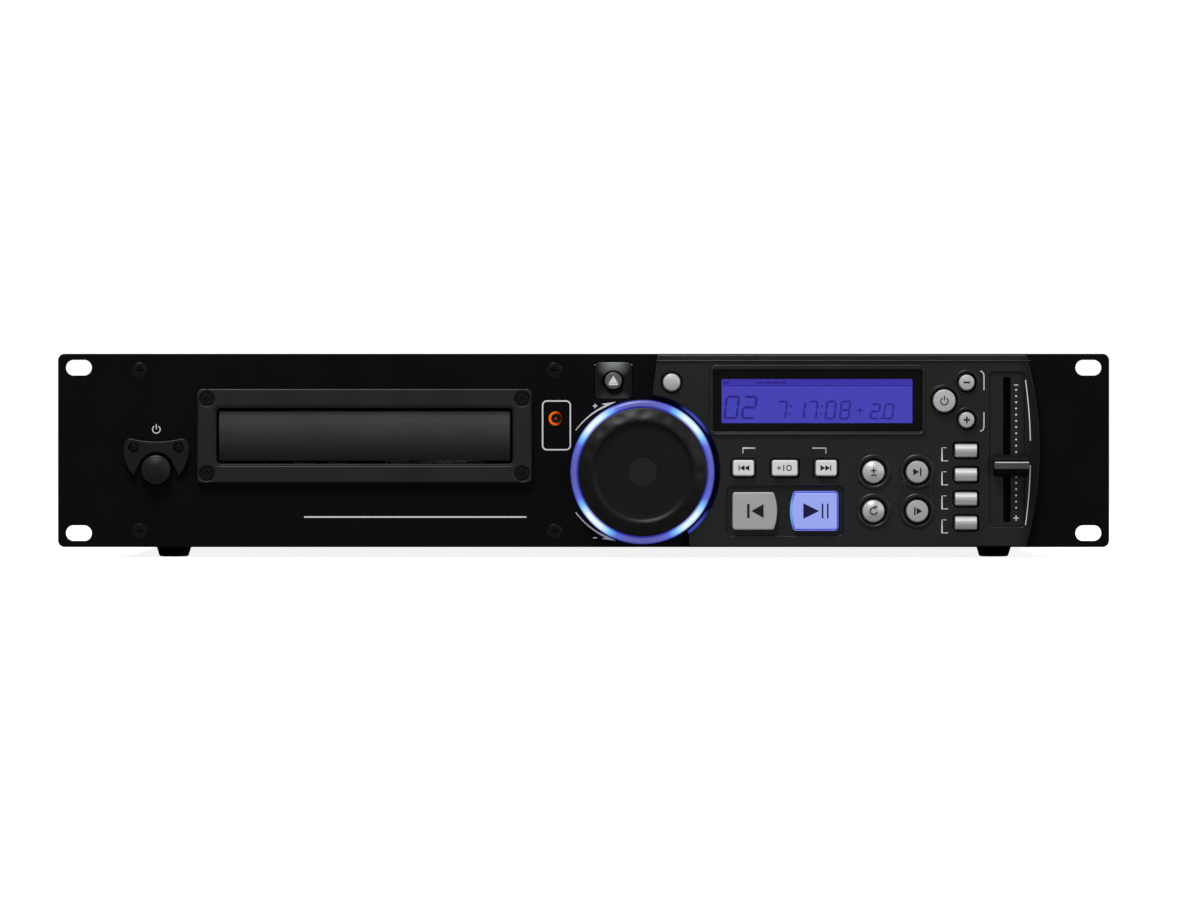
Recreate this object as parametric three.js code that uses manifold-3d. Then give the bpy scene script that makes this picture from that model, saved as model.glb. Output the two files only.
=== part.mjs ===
// Disc player for a DJ rack: a two-unit, 19 inch front panel with a motor-driven disc drawer on the left,
// a lit jog wheel in the middle and a moulded control fascia on the right, on a sheet-metal case with feet.
// Millimetres, +Z up, the front faces -Y. Until the last lines everything stands in the panel's own frame:
// X from the panel's middle, Y back from its front face, Z up from its bottom edge.
import * as THREE from "three";
import { mergeVertices } from "three/addons/utils/BufferGeometryUtils.js";
import Module from "manifold-3d";

// Clearances and facet counts
const SEAT_GAP = 0.3; // between a piece and what it rests on
const RUN_GAP = 0.4; // around a piece that slides or turns
const OVERRUN = 3; // how far a cutting tool runs past the faces that it cuts
const WELD = 0.0001; // vertices closer than this are one vertex
const BIG_STEPS = 40;
const ROUND_STEPS = 16;
const SMALL_STEPS = 12;
const TINY_STEPS = 6;
const CORNER_STEPS = 2;

// Front panel
const PANEL_WIDTH = 484;
const PANEL_HEIGHT = 89;
const PANEL_THICK = 4;
const PANEL_CORNER = 3;
const PANEL_CHAMFER = 0.6;
const SLOT_INSET_X = 9.45; // from the panel's ends to the slots' middles
const SLOT_INSET_Z = 6.4;
const SLOT_LENGTH = 12.2;
const SLOT_HEIGHT = 7.2;

// Sheet-metal case behind the panel
const CASE_WIDTH = 430;
const CASE_DEPTH = 250;
const CASE_LIFT = 2.5; // the case stands this far above the panel's bottom edge
const CASE_DROP = 1.5; // and this far below its top edge
const SHEET = 1.2;
const PAN_FLANGE = 14;
const PAN_LIP = 5;
const VENT_WIDTH = 3;
const VENT_LENGTH = 34;
const VENT_PITCH = 9;
const VENTS_PER_ROW = 10;
const SIDE_VENTS = 7;
const SIDE_VENT_LENGTH = 26;
const VENT_MARGIN = 18;
const FOOT_DROP = 5; // the feet reach this far below the panel
const FOOT_TOP_RADIUS = 8.4;
const FOOT_BOTTOM_RADIUS = 6.6;
const FOOT_EDGE = 0.8;
const FOOT_SCREW_RADIUS = 3;
const FOOT_X = 191;
const FOOT_SETBACK = 28;

// Drawer opening, its bezel and the tray's door
const DRAWER_X = -100.8;
const DRAWER_Z = 51.2;
const WINDOW_WIDTH = 136.4;
const WINDOW_HEIGHT = 25.8;
const WINDOW_CORNER = 2;
const BEZEL_MARGIN = 8.7;
const BEZEL_RISE = 2.6;
const BEZEL_CORNER = 2.2;
const BEZEL_CHAMFER = 0.8;
const BEZEL_SLEEVE = 1.6;
const BEZEL_FLARE = 0.9;
const BEZEL_SCREW_INSET = 4.3;
const SCREW_HEAD_RADIUS = 3;
const SCREW_SHANK_RADIUS = 1.5;
const DOOR_GAP_X = 1.3;
const DOOR_GAP_Z = 1.6;
const DOOR_THICK = 3;
const DOOR_SET = 1.2; // the door's face lies this far behind the bezel's
const DOOR_CROWN = 0.5;

// Disc tray
const DISC_RADIUS = 60;
const DISC_Y = 72; // the disc's middle, behind the panel's face
const TRAY_TRAVEL = 136;
const TRAY_MARGIN = 5; // the tray is this much narrower than the window on each side
const TRAY_THICK = 5;
const TRAY_HOLD = 30; // the length that stays in the guides when the tray is out
const TRAY_TOP = 7.8; // the tray's top lies this far above the drawer's middle
const RECESS_GAP = 0.9;
const RECESS_DEPTH = 1.8;
const SMALL_DISC_RADIUS = 40;
const SMALL_RECESS_DEPTH = 1.2;
const PICKUP_SLOT_HALF = 19;
const PICKUP_SLOT_END = 3; // room past the lens at the outermost track
const TRAY_RIB = 1.6;
const TRAY_RIB_DEPTH = 4.5;
const TRAY_RIB_INSET = 4;
const TRAY_BEAM = 4;
const TRAY_BEAM_DEPTH = 8.4;
const RACK_BACK = 2.4;
const RACK_DEPTH = 7;

// Gear train that drives the tray
const PRESSURE_ANGLE = (20 * Math.PI) / 180;
const ADDENDUM_SHARE = 0.9;
const DEDENDUM_SHARE = 1.2;
const BACKLASH = 0.22;
const TRAY_MODULE = 1.25;
const TRAY_TEETH = 22;
const TRAIN_MODULE = 1;
const WHEEL_TEETH = 34;
const PINION_TEETH = 12;
const DRIVE_INSET = 25.2; // the drive gear's axis, from the tray's right edge
const DRIVE_Y = 27;
const RACK_GEAR_FACE = 8;
const WHEEL_FACE = 4;
const GEAR_STEP_GAP = 1.2;
const POST_RADIUS = 2.4;
const HUB_WALL = 1.6;
const PULLEY_RADIUS = 15;
const PULLEY_RIM = 1.2;
const PULLEY_FACE = 4.6;
const MOTOR_PULLEY_RADIUS = 4;
const BELT_WIDTH = 1.6;
const BELT_THICK = 1.3;
const MOTOR_INSET = 16.2; // the loading motor's axis, from the tray's left edge
const MOTOR_RADIUS = 11;
const MOTOR_HEIGHT = 16;
const MOTOR_BOSS_RADIUS = 3.4;
const MOTOR_SHAFT_RADIUS = 1;

// Loader frame that carries the tray
const WALL = 3;
const LEDGE = 3.4;
const LEDGE_THICK = 2.6;
const GUIDE_TAB_LENGTH = 14;
const LOADER_FRONT = 8.4;
const LOADER_LENGTH = 164;
const LOADER_WALL_TOP = 15; // above the drawer's middle
const DECK_DROP = 18.6; // the gear deck's top, below the drawer's middle
const DECK_THICK = 2.4;
const DECK_DEPTH = 36;
const LOADER_FOOT = 12;
const LOADER_FOOT_THICK = 3;
const LOADER_STAND = 8; // height of the pan's bosses
const REAR_BEAM = 7;
const REAR_BEAM_HEIGHT = 8;
const BRIDGE_DEPTH = 40;
const BRIDGE_THICK = 2;
const BRIDGE_EDGE = 4;
const PUCK_RADIUS = 13.2;
const PUCK_FLANGE = 3;
const PUCK_FLANGE_THICK = 2;
const PUCK_DISC_GAP = 1.5;
const PUCK_HOLLOW_RADIUS = 8.2;
const PUCK_HOLLOW_DEPTH = 2.4;

// Traverse that carries the spindle and the laser, drawn level in its raised place
const LOWER_ANGLE = 0.1065; // radians that the traverse hangs down at rest
const PIVOT_Y = 155;
const PIVOT_DROP = 11.2; // the pivot, below the drawer's middle
const PIVOT_RADIUS = 2;
const PIVOT_PIN = 6;
const LUG = 4;
const LUG_RADIUS = 4.2;
const TRAVERSE_HALF = 43;
const TRAVERSE_FRONT = 50;
const TRAVERSE_REAR_WALL = 6;
const TRAVERSE_THICK = 3;
const TRAVERSE_RISE = 2; // the plate's underside, above the pivot
const TRAVERSE_RIB = 5;
const DISC_SEAT_RISE = 18.8; // the turntable's seat, above the pivot
const TURNTABLE_RADIUS = 15;
const TURNTABLE_THICK = 2.6;
const SPIGOT_RADIUS = 7.3;
const SPIGOT_RISE = 3;
const SPIGOT_TAPER = 1.4;
const SPINDLE_MOTOR_RADIUS = 12;
const SPINDLE_MOTOR_HEIGHT = 11;
const SPINDLE_BOSS_RADIUS = 5;
const SPINDLE_BOSS_RISE = 2;
const SPINDLE_SHAFT_RADIUS = 1;
const PICKUP_TRAVEL = 33;
const PICKUP_START = 25; // from the spindle to the lens at the innermost track
const PICKUP_LENGTH = 24;
const PICKUP_HALF = 16.5;
const PICKUP_BODY_RISE = 8;
const PICKUP_BODY_DROP = 3;
const LENS_TURRET_RADIUS = 6;
const LENS_DISC_GAP = 1.6;
const LENS_RADIUS = 2.6;
const LENS_DEPTH = 0.8;
const ROD_X = 25;
const ROD_RADIUS = 1.5;
const ROD_RISE = 6.5;
const ROD_SLEEVE_WALL = 2;
const ROD_POST = 5;
const SLED_MODULE = 0.8;
const SLED_TEETH = 16;
const SLED_RACK_X = -29;
const SLED_RACK_BACK = 2;
const SLED_RACK_FACE = 3;
const SLED_GEAR_Y = 114;
const SLED_RACK_SPARE = 5;
const SLED_POST_RADIUS = 1.5;
const LIFT_PIN_RADIUS = 1.5;
const LIFT_PIN_X = -12;
const LIFT_PIN_LENGTH = 5.1;
const LIFT_TRAVEL = 18;
const LIFT_THICK = 2;
const LIFT_WALL = 3.2;
const LIFT_SLOT_GAP = 0.4;

// Power switch
const POWER_CLEAR = 19; // from the drawer's bezel to the button's axis
const POWER_Z = 35.6;
const POWER_RADIUS = 6.8;
const POWER_PROUD = 6;
const ESCUTCHEON_RISE = 2;
const ESCUTCHEON_HALF = 15;
const ESCUTCHEON_TOP = 14.4;
const ESCUTCHEON_TIP_X = 10.4;
const ESCUTCHEON_TIP_DROP = 2.5;
const ESCUTCHEON_BORE = 8;
const ESCUTCHEON_SCREW_X = 10.3;
const ESCUTCHEON_SCREW_Z = 10.3;
const ESCUTCHEON_DIMPLE = 2.5;

// Eject button in its square dish
const EJECT_X = 13.7;
const EJECT_Z = 76.6;
const DISH_SIZE = 16.9;
const DISH_CORNER = 1;
const DISH_RISE = 0.6;
const DISH_RIM = 0.6;
const DISH_DEPTH = 2.2;
const DISH_FLANGE = 1;
const EJECT_RADIUS = 3.9;
const EJECT_WELL = 5;

// Remote sensor
const SENSOR_CLEAR = 11.1; // from the drawer's bezel to the lens's axis
const SENSOR_Z = 59.2;
const SENSOR_RADIUS = 3.3;
const SENSOR_DEPTH = 9;

// Jog wheel and its lit ring
const JOG_X = 27.1;
const JOG_Z = 34.6;
const RING_OUTER = 33.2;
const RING_INNER = 29.9;
const RING_RISE = 5.5;
const RING_ROUND = 1.4;
const RING_COLLAR = 2;
const WHEEL_RISE = 10.5; // the rim's crest, in front of the panel
const WHEEL_CREST = 23.2;
const WHEEL_BAND_DROP = 2.6;
const DISH_FLOOR_DROP = 1.6;
const WHEEL_WEB = 3;
const DIMPLES = 16;
const DIMPLE_SPHERE = 4.6;
const DIMPLE_DEPTH = 1.1;
const JOG_SHAFT_RADIUS = 3;
const ENCODER_RADIUS = 7;
const ENCODER_DEPTH = 6;

// Control fascia
const FASCIA_RISE = 3.2;
const FASCIA_CHAMFER = 0.9;
const FASCIA_LIP_TOP = 0.6; // below the panel's top edge
const FASCIA_LIP_BOTTOM = 0.5;
const FASCIA_LEFT_TOP = 34;
const FASCIA_LEFT_NECK = 31.8;
const FASCIA_NECK_Z = 71.5;
const FASCIA_WRAP = 35.7; // radius round the jog wheel's axis
const FASCIA_LEFT_FOOT = 48.5;
const FASCIA_RIGHT = 203.6;
const FASCIA_RIGHT_BOW = 6.2;
const OPENING_LEFT = 60;
const OPENING_RIGHT = 201.2;
const OPENING_MARGIN = 5.6;
const OPENING_CORNER = 3;

// Display
const DISPLAY_X = 107.6;
const DISPLAY_Z = 67.6;
const DISPLAY_WIDTH = 94.3;
const DISPLAY_HEIGHT = 28.2;
const DISPLAY_CORNER = 1;
const DISPLAY_LEDGE = 2.2;
const DISPLAY_GLASS = 1.6;
const DISPLAY_SET = 0.5;
const RIDGE_OFFSET = 1.2;
const RIDGE_WIDTH = 1;
const RIDGE_RISE = 0.8;
const LCD_DEPTH = 6;
const LCD_LIT_WIDTH = 87.8;
const LCD_LIT_HEIGHT = 20.2;
const LCD_FRAME_STEP = 0.8;

// Buttons of the fascia
const BUTTON_TRAVEL = 1;
const BUTTON_GAP = 0.35;
const BUTTON_FLANGE = 1.1;
const BUTTON_FLANGE_THICK = 1.2;
const BUTTON_PROUD = 2;
const BUTTON_EDGE = 0.5;
const STEM_RADIUS = 1.8;
const STEM_LENGTH = 5;
const WELL_WIDTH = 1;
const WELL_DEPTH = 0.8;
const JOG_MODE_X = 40.5;
const JOG_MODE_Z = 75.9;
const JOG_MODE_RADIUS = 4.1;
const SEARCH_X = 73.5;
const SEARCH_PITCH = 19;
const SEARCH_Z = 36.5;
const SEARCH_WIDTH = 10;
const SEARCH_MIDDLE_WIDTH = 12.1;
const SEARCH_HEIGHT = 7.5;
const KEY_CORNER = 1;
const KEY_CORNER_LEAST = 0.4;
const CUE_X = 78.7;
const PLAY_X = 106.1;
const CUE_Z = 16.7;
const CUE_WIDTH = 20.8;
const PLAY_WIDTH = 21.6;
const CUE_HEIGHT = 17.6;
const CUE_BOW = 1.1;
const CUE_CORNER = 1.6;
const CUE_PAD_MARGIN = 2.6;
const CUE_PAD_DEPTH = 1;
const ROUND_LEFT_X = 133.3;
const ROUND_RIGHT_X = 153.4;
const ROUND_HIGH_Z = 34.7;
const ROUND_LOW_Z = 16.7;
const ROUND_RADIUS = 5.2;
const RIM_WIDTH = 2.2;
const RIM_RISE = 0.5;
const PITCH_ON_X = 165.8;
const PITCH_ON_Z = 67.4;
const PITCH_ON_RADIUS = 5.3;
const BEND_X = 176.1;
const BEND_HIGH_Z = 75.8;
const BEND_LOW_Z = 58.6;
const BEND_RADIUS = 3.7;
const BAR_X = 175.8;
const BAR_WIDTH = 10.3;
const BAR_HEIGHT = 6.2;
const BAR_LOW_Z = 11.2;
const BAR_PITCH = 11.1;

// Pitch fader
const FADER_X = 194.7;
const FADER_Z = 44.9;
const FADER_PLATE_WIDTH = 16.4;
const FADER_PLATE_HEIGHT = 71.4;
const FADER_PLATE_DEPTH = 1;
const FADER_SLOT_WIDTH = 3.4;
const FADER_TRAVEL = 60;
const FADER_STEM_HEIGHT = 6;
const FADER_STEM_THICK = 1.4;
const FADER_REST = -6.6; // the cap stands this far from the slot's middle
const FADER_CAP_WIDTH = 16.8;
const FADER_CAP_HEIGHT = 11.6;
const FADER_CAP_THICK = 5;
const FADER_CAP_GAP = 0.6;
const FADER_CAP_TAPER = 2.6;
const FADER_CAP_SHIFT = 1.7; // the cap's middle stands this far right of the slot
const FADER_STEM_ROOT = 1.6;
const FADER_FIN_HEIGHT = 3.8;
const FADER_FIN_RISE = 3.6;
const FADER_FIN_SHIFT = -0.7; // the fin's middle stands this far above the cap's middle
const FADER_BODY_WIDTH = 9;
const FADER_BODY_DEPTH = 9;
const FADER_BODY_SKIN = 1;
const FADER_END = 4;

// Boards, transformer and rear connectors
const BOARD_THICK = 1.6;
const CONTROL_BOARD_Y = 12.6;
const CONTROL_BOARD_CLEAR = 12.2; // from the loader's right wall
const CONTROL_BOARD_RIGHT = 206;
const CONTROL_BOARD_MARGIN = 5;
const SWITCH_SIZE = 6;
const SWITCH_DEPTH = 3.4;
const SWITCH_PLUNGER = 1.5;
const MAIN_BOARD_LEFT = -14;
const MAIN_BOARD_RIGHT = 204;
const MAIN_BOARD_FRONT = 70;
const MAIN_BOARD_REAR_GAP = 14;
const BOARD_STAND = 7;
const BOARD_STAND_RADIUS = 3;
const BOARD_STAND_INSET = 8;
const CAPACITORS = 3;
const CAPACITOR_RADIUS = 6;
const CAPACITOR_HEIGHT = 18;
const SINK_FINS = 5;
const SINK_PITCH = 6;
const SINK_FIN_THICK = 1.6;
const SINK_DEPTH = 18;
const SINK_HEIGHT = 18;
const SINK_BASE_THICK = 2;
const CHIPS = 2;
const CHIP_SIZE = 18;
const CHIP_THICK = 1.6;
const TRANSFORMER_X = -166;
const TRANSFORMER_WIDTH = 54;
const TRANSFORMER_DEPTH = 44;
const TRANSFORMER_HEIGHT = 46;
const TRANSFORMER_REAR_GAP = 22;
const TRANSFORMER_COIL = 9;
const TRANSFORMER_FOOT = 9;
const INLET_X = -165;
const INLET_Z = 26;
const INLET_WIDTH = 28;
const INLET_HEIGHT = 20.6;
const INLET_FLANGE = 2.6;
const INLET_FLANGE_THICK = 2;
const INLET_DEPTH = 18;
const INLET_WALL = 2.2;
const INLET_PIN = 2;
const INLET_PIN_HEIGHT = 4;
const INLET_PIN_LENGTH = 12;
const INLET_PIN_SPREAD = 7;
const INLET_EARTH_RISE = 2;
const INLET_CORNER = 3;
const JACK_X = 96;
const JACK_PITCH = 18;
const JACK_Z = 40;
const JACK_RADIUS = 4.2;
const JACK_BORE = 1.6;
const JACK_REACH = 9;
const JACK_BODY_DEPTH = 12;
const JACK_BODY_HEIGHT = 14;
const CONTROL_JACK_RADIUS = 3.6;
const CONTROL_JACK_REACH = 3;
const CONTROL_JACK_BORE = 1.8;

// Places that follow from the sizes above
const PANEL_MIDDLE = PANEL_HEIGHT / 2;
const CASE_FRONT = PANEL_THICK + SEAT_GAP;
const CASE_BACK = CASE_FRONT + CASE_DEPTH;
const CASE_TOP = PANEL_HEIGHT - CASE_DROP;
const PAN_HALF = CASE_WIDTH / 2 - SHEET - SEAT_GAP;
const PAN_FLOOR = CASE_LIFT + SHEET;
const TRAY_HALF = WINDOW_WIDTH / 2 - TRAY_MARGIN;
const TRAY_LENGTH = TRAY_TRAVEL + TRAY_HOLD;
const DRIVE_X = TRAY_HALF - DRIVE_INSET;
const MOTOR_X = MOTOR_INSET - TRAY_HALF;
const TRAY_Z = DRAWER_Z + TRAY_TOP;
const TRAY_FLOOR = TRAY_Z - TRAY_THICK;
const DOOR_FRONT = -SEAT_GAP - BEZEL_RISE + DOOR_SET;
const TRAY_FRONT = DOOR_FRONT + DOOR_THICK + SEAT_GAP;
const DECK_Z = DRAWER_Z - DECK_DROP;
const DECK_BACK = LOADER_FRONT + DECK_DEPTH;
const LOADER_INNER = TRAY_HALF + RUN_GAP;
const LOADER_OUTER = LOADER_INNER + WALL;
const LOADER_BACK = LOADER_FRONT + LOADER_LENGTH;
const CONTROL_BOARD_LEFT = DRAWER_X + LOADER_OUTER + CONTROL_BOARD_CLEAR;
const BEZEL_HALF = WINDOW_WIDTH / 2 + BEZEL_MARGIN;
const POWER_X = DRAWER_X - BEZEL_HALF - POWER_CLEAR;
const SENSOR_X = DRAWER_X + BEZEL_HALF + SENSOR_CLEAR;
const LOADER_FLOOR = PAN_FLOOR + LOADER_STAND + SEAT_GAP;
const LOADER_TOP = DRAWER_Z + LOADER_WALL_TOP;
const PIVOT_Z = DRAWER_Z - PIVOT_DROP;
const TRAY_PITCH_RADIUS = (TRAY_MODULE * TRAY_TEETH) / 2;
const WHEEL_PITCH_RADIUS = (TRAIN_MODULE * WHEEL_TEETH) / 2;
const PINION_PITCH_RADIUS = (TRAIN_MODULE * PINION_TEETH) / 2;
const PULLEY_X = DRIVE_X - WHEEL_PITCH_RADIUS - PINION_PITCH_RADIUS;
const PULLEY_Z = DECK_Z + SEAT_GAP;
const PINION_Z = PULLEY_Z + PULLEY_FACE;
const WHEEL_Z = PINION_Z + GEAR_STEP_GAP;
const RACK_GEAR_Z = WHEEL_Z + WHEEL_FACE + GEAR_STEP_GAP;
const RACK_PITCH_X = DRIVE_X + TRAY_PITCH_RADIUS;
const BELT_Z = PULLEY_Z + (PULLEY_FACE - BELT_WIDTH) / 2;
const FASCIA_BACK = -SEAT_GAP;
const FASCIA_FRONT = FASCIA_BACK - FASCIA_RISE;
const SLED_PITCH_RADIUS = (SLED_MODULE * SLED_TEETH) / 2;

const wasm = await Module();
wasm.setup();

// The numbers from zero up to one less than count
function upTo(count) {
  return Array.from({ length: count }, (_, k) => k);
}

// A closed three.js geometry as a solid that can be joined and cut
function solidOf(geometry) {
  const bare = new THREE.BufferGeometry();
  const loose = geometry.index ? geometry.toNonIndexed() : geometry;
  bare.setAttribute("position", loose.getAttribute("position"));
  const merged = mergeVertices(bare, WELD);
  const mesh = new wasm.Mesh({
    numProp: 3,
    vertProperties: merged.attributes.position.array,
    triVerts: new Uint32Array(merged.index.array),
  });
  return new wasm.Manifold(mesh);
}

function geometryOf(solid) {
  const mesh = solid.getMesh();
  const indexed = new THREE.BufferGeometry();
  indexed.setAttribute("position", new THREE.BufferAttribute(mesh.vertProperties, 3));
  indexed.setIndex(new THREE.BufferAttribute(mesh.triVerts, 1));
  const geometry = indexed.toNonIndexed();
  geometry.computeVertexNormals();
  return geometry;
}

function join(...solids) {
  return solids.flat().reduce((all, one) => all.add(one));
}

function cut(solid, ...tools) {
  return tools.flat().reduce((left, tool) => left.subtract(tool), solid);
}

// A rectangular block between two corners
function block([x0, x1], [y0, y1], [z0, z1]) {
  const geometry = new THREE.BoxGeometry(x1 - x0, y1 - y0, z1 - z0);
  geometry.translate((x0 + x1) / 2, (y0 + y1) / 2, (z0 + z1) / 2);
  return solidOf(geometry);
}

// The span of a given width about its middle
function about(middle, width) {
  return [middle - width / 2, middle + width / 2];
}

// A profile of [radius, height] turned round an axis; it starts and ends on the axis, or closes
function turned(profile, segments) {
  const points = profile.map(([radius, height]) => new THREE.Vector2(radius, height));
  if (THREE.ShapeUtils.area(points) > 0) points.reverse();
  points.reverse();
  return new THREE.LatheGeometry(points, segments);
}

function turnedY(profile, x, z, segments = ROUND_STEPS) {
  return solidOf(turned(profile, segments).translate(x, 0, z));
}

function turnedZ(profile, x, y, segments = ROUND_STEPS) {
  return solidOf(turned(profile, segments).rotateX(Math.PI / 2).translate(x, y, 0));
}

function rod(radius, y0, y1, x, z, segments = ROUND_STEPS) {
  return turnedY([[0, y0], [radius, y0], [radius, y1], [0, y1]], x, z, segments);
}

function post(radius, z0, z1, x, y, segments = ROUND_STEPS) {
  return turnedZ([[0, z0], [radius, z0], [radius, z1], [0, z1]], x, y, segments);
}

// Outlines, counter-clockwise
function arc(radius, x, y, from, to, steps) {
  return Array.from({ length: steps + 1 }, (_, k) => {
    const angle = from + ((to - from) * k) / steps;
    return new THREE.Vector2(x + radius * Math.cos(angle), y + radius * Math.sin(angle));
  });
}

function circle(radius, x, y, steps = ROUND_STEPS) {
  return arc(radius, x, y, 0, 2 * Math.PI, steps).slice(0, -1);
}

function rounded(width, height, radius, x = 0, y = 0, steps = CORNER_STEPS) {
  const signs = [[1, 1], [-1, 1], [-1, -1], [1, -1]];
  return signs.flatMap(([sx, sy], k) => {
    const cx = x + sx * (width / 2 - radius);
    const cy = y + sy * (height / 2 - radius);
    return arc(radius, cx, cy, (k * Math.PI) / 2, ((k + 1) * Math.PI) / 2, steps);
  });
}

function shapeOf(outline, holes = []) {
  const shape = new THREE.Shape(outline);
  shape.holes = holes.map((hole) => new THREE.Path(hole));
  return shape;
}

// An outline drawn as seen from the front, from depth y0 back to y1
function frontSlab(outline, y0, y1, holes) {
  const options = { depth: y1 - y0, bevelEnabled: false };
  const geometry = new THREE.ExtrudeGeometry(shapeOf(outline, holes), options);
  return solidOf(geometry.rotateX(Math.PI / 2).translate(0, y1, 0));
}

// An outline drawn as seen from above, from height z0 up to z1
function topSlab(outline, z0, z1, holes) {
  const options = { depth: z1 - z0, bevelEnabled: false };
  const geometry = new THREE.ExtrudeGeometry(shapeOf(outline, holes), options);
  return solidOf(geometry.translate(0, 0, z0));
}

// A skin through matching outlines, closed at both ends; place sets an outline's point at its level
function loft(levels, place) {
  const count = levels[0].outline.length;
  const corners = levels.flatMap(({ outline, at }) => outline.map((point) => place(point, at)));
  const index = [];
  for (let level = 0; level + 1 < levels.length; level++)
    for (let k = 0; k < count; k++) {
      const a = level * count + k;
      const b = level * count + ((k + 1) % count);
      index.push(a, b, b + count, a, b + count, a + count);
    }
  const last = (levels.length - 1) * count;
  for (const [a, b, c] of THREE.ShapeUtils.triangulateShape(levels[0].outline, [])) index.push(a, c, b);
  for (const [a, b, c] of THREE.ShapeUtils.triangulateShape(levels.at(-1).outline, []))
    index.push(last + a, last + b, last + c);
  const geometry = new THREE.BufferGeometry();
  geometry.setAttribute("position", new THREE.Float32BufferAttribute(corners.flat(), 3));
  geometry.setIndex(index);
  return solidOf(geometry);
}

// Levels run from the back to the front
function frontLoft(levels) {
  return loft(levels, (point, y) => [point.x, y, point.y]);
}

// Levels run from the bottom to the top
function topLoft(levels) {
  return loft(levels, (point, z) => [point.x, point.y, z]);
}

function finish(color, roughness, metalness = 0) {
  return new THREE.MeshStandardMaterial({ color, roughness, metalness });
}

const blackPaint = finish(0x08090a, 0.55, 0.3);
const blackSheet = finish(0x101112, 0.6, 0.4);
const darkPlastic = finish(0x242523, 0.5);
const doorPlastic = finish(0x34353a, 0.35);
const fasciaPlastic = finish(0x232524, 0.45);
const silverPlastic = finish(0xc8c9cb, 0.4, 0.2);
const litPlastic = finish(0x96a5eb, 0.4);
const ringPlastic = finish(0x7a78d6, 0.3);
const blackPlastic = finish(0x141414, 0.5);
const greyPlastic = finish(0x8f9090, 0.6);
const whitePlastic = finish(0xd8d8d2, 0.5);
const steel = finish(0xb4b6b8, 0.35, 0.9);
const greenBoard = finish(0x1f5a34, 0.6);
const rubber = finish(0x0c0c0c, 0.9);
const acrylic = finish(0x11131c, 0.1);
const lcdBlue = finish(0x4b48be, 0.3);
const amber = finish(0xe06e18, 0.25);

function mesh(name, solid, material) {
  const piece = new THREE.Mesh(geometryOf(solid), material);
  piece.name = name;
  return piece;
}

// Front panel: a thick plate with a chamfered edge, rack slots, and openings for what sits in it
function frontPanel() {
  const edge = (inset) => rounded(PANEL_WIDTH - 2 * inset, PANEL_HEIGHT - 2 * inset,
    PANEL_CORNER - inset, 0, PANEL_MIDDLE);
  const plate = frontLoft([
    { outline: edge(0), at: PANEL_THICK },
    { outline: edge(0), at: PANEL_CHAMFER },
    { outline: edge(PANEL_CHAMFER), at: 0 },
  ]);
  const through = (outline) => frontSlab(outline, -OVERRUN, PANEL_THICK + OVERRUN);
  const sleeve = 2 * (BEZEL_SLEEVE + SEAT_GAP);
  const slots = [-1, 1].flatMap((side) => [-1, 1].map((level) =>
    through(rounded(SLOT_LENGTH, SLOT_HEIGHT, SLOT_HEIGHT / 2, side * (PANEL_WIDTH / 2 - SLOT_INSET_X),
      PANEL_MIDDLE + level * (PANEL_MIDDLE - SLOT_INSET_Z), 2 * CORNER_STEPS))));
  const openings = [
    rounded(WINDOW_WIDTH + sleeve, WINDOW_HEIGHT + sleeve, WINDOW_CORNER, DRAWER_X, DRAWER_Z),
    circle(POWER_RADIUS + RUN_GAP, POWER_X, POWER_Z),
    rounded(DISH_SIZE + 2 * SEAT_GAP, DISH_SIZE + 2 * SEAT_GAP, DISH_CORNER, EJECT_X, EJECT_Z),
    circle(SENSOR_RADIUS + SEAT_GAP, SENSOR_X, SENSOR_Z, SMALL_STEPS),
    circle(RING_INNER - RING_COLLAR + SEAT_GAP, JOG_X, JOG_Z),
    circle(JOG_MODE_RADIUS + BUTTON_FLANGE + RUN_GAP, JOG_MODE_X, JOG_MODE_Z, SMALL_STEPS),
    rounded(OPENING_RIGHT - OPENING_LEFT, PANEL_HEIGHT - 2 * OPENING_MARGIN, OPENING_CORNER,
      (OPENING_LEFT + OPENING_RIGHT) / 2, PANEL_MIDDLE),
  ].map(through);
  return mesh("front_panel", cut(plate, slots, openings), blackPaint);
}

// Case: a folded pan, a rear panel with the connectors' cut-outs, and a cover with vents over both
function standX() {
  return [-1, 1].map((side) => DRAWER_X + side * (LOADER_OUTER + LOADER_FOOT / 2));
}

function standY() {
  return [LOADER_FRONT + LOADER_FOOT, LOADER_BACK - LOADER_FOOT];
}

function boardStands() {
  const xs = [MAIN_BOARD_LEFT + BOARD_STAND_INSET, MAIN_BOARD_RIGHT - BOARD_STAND_INSET];
  const ys = [MAIN_BOARD_FRONT + BOARD_STAND_INSET,
    CASE_BACK - MAIN_BOARD_REAR_GAP - BOARD_STAND_INSET];
  return xs.flatMap((x) => ys.map((y) => [x, y]));
}

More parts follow.
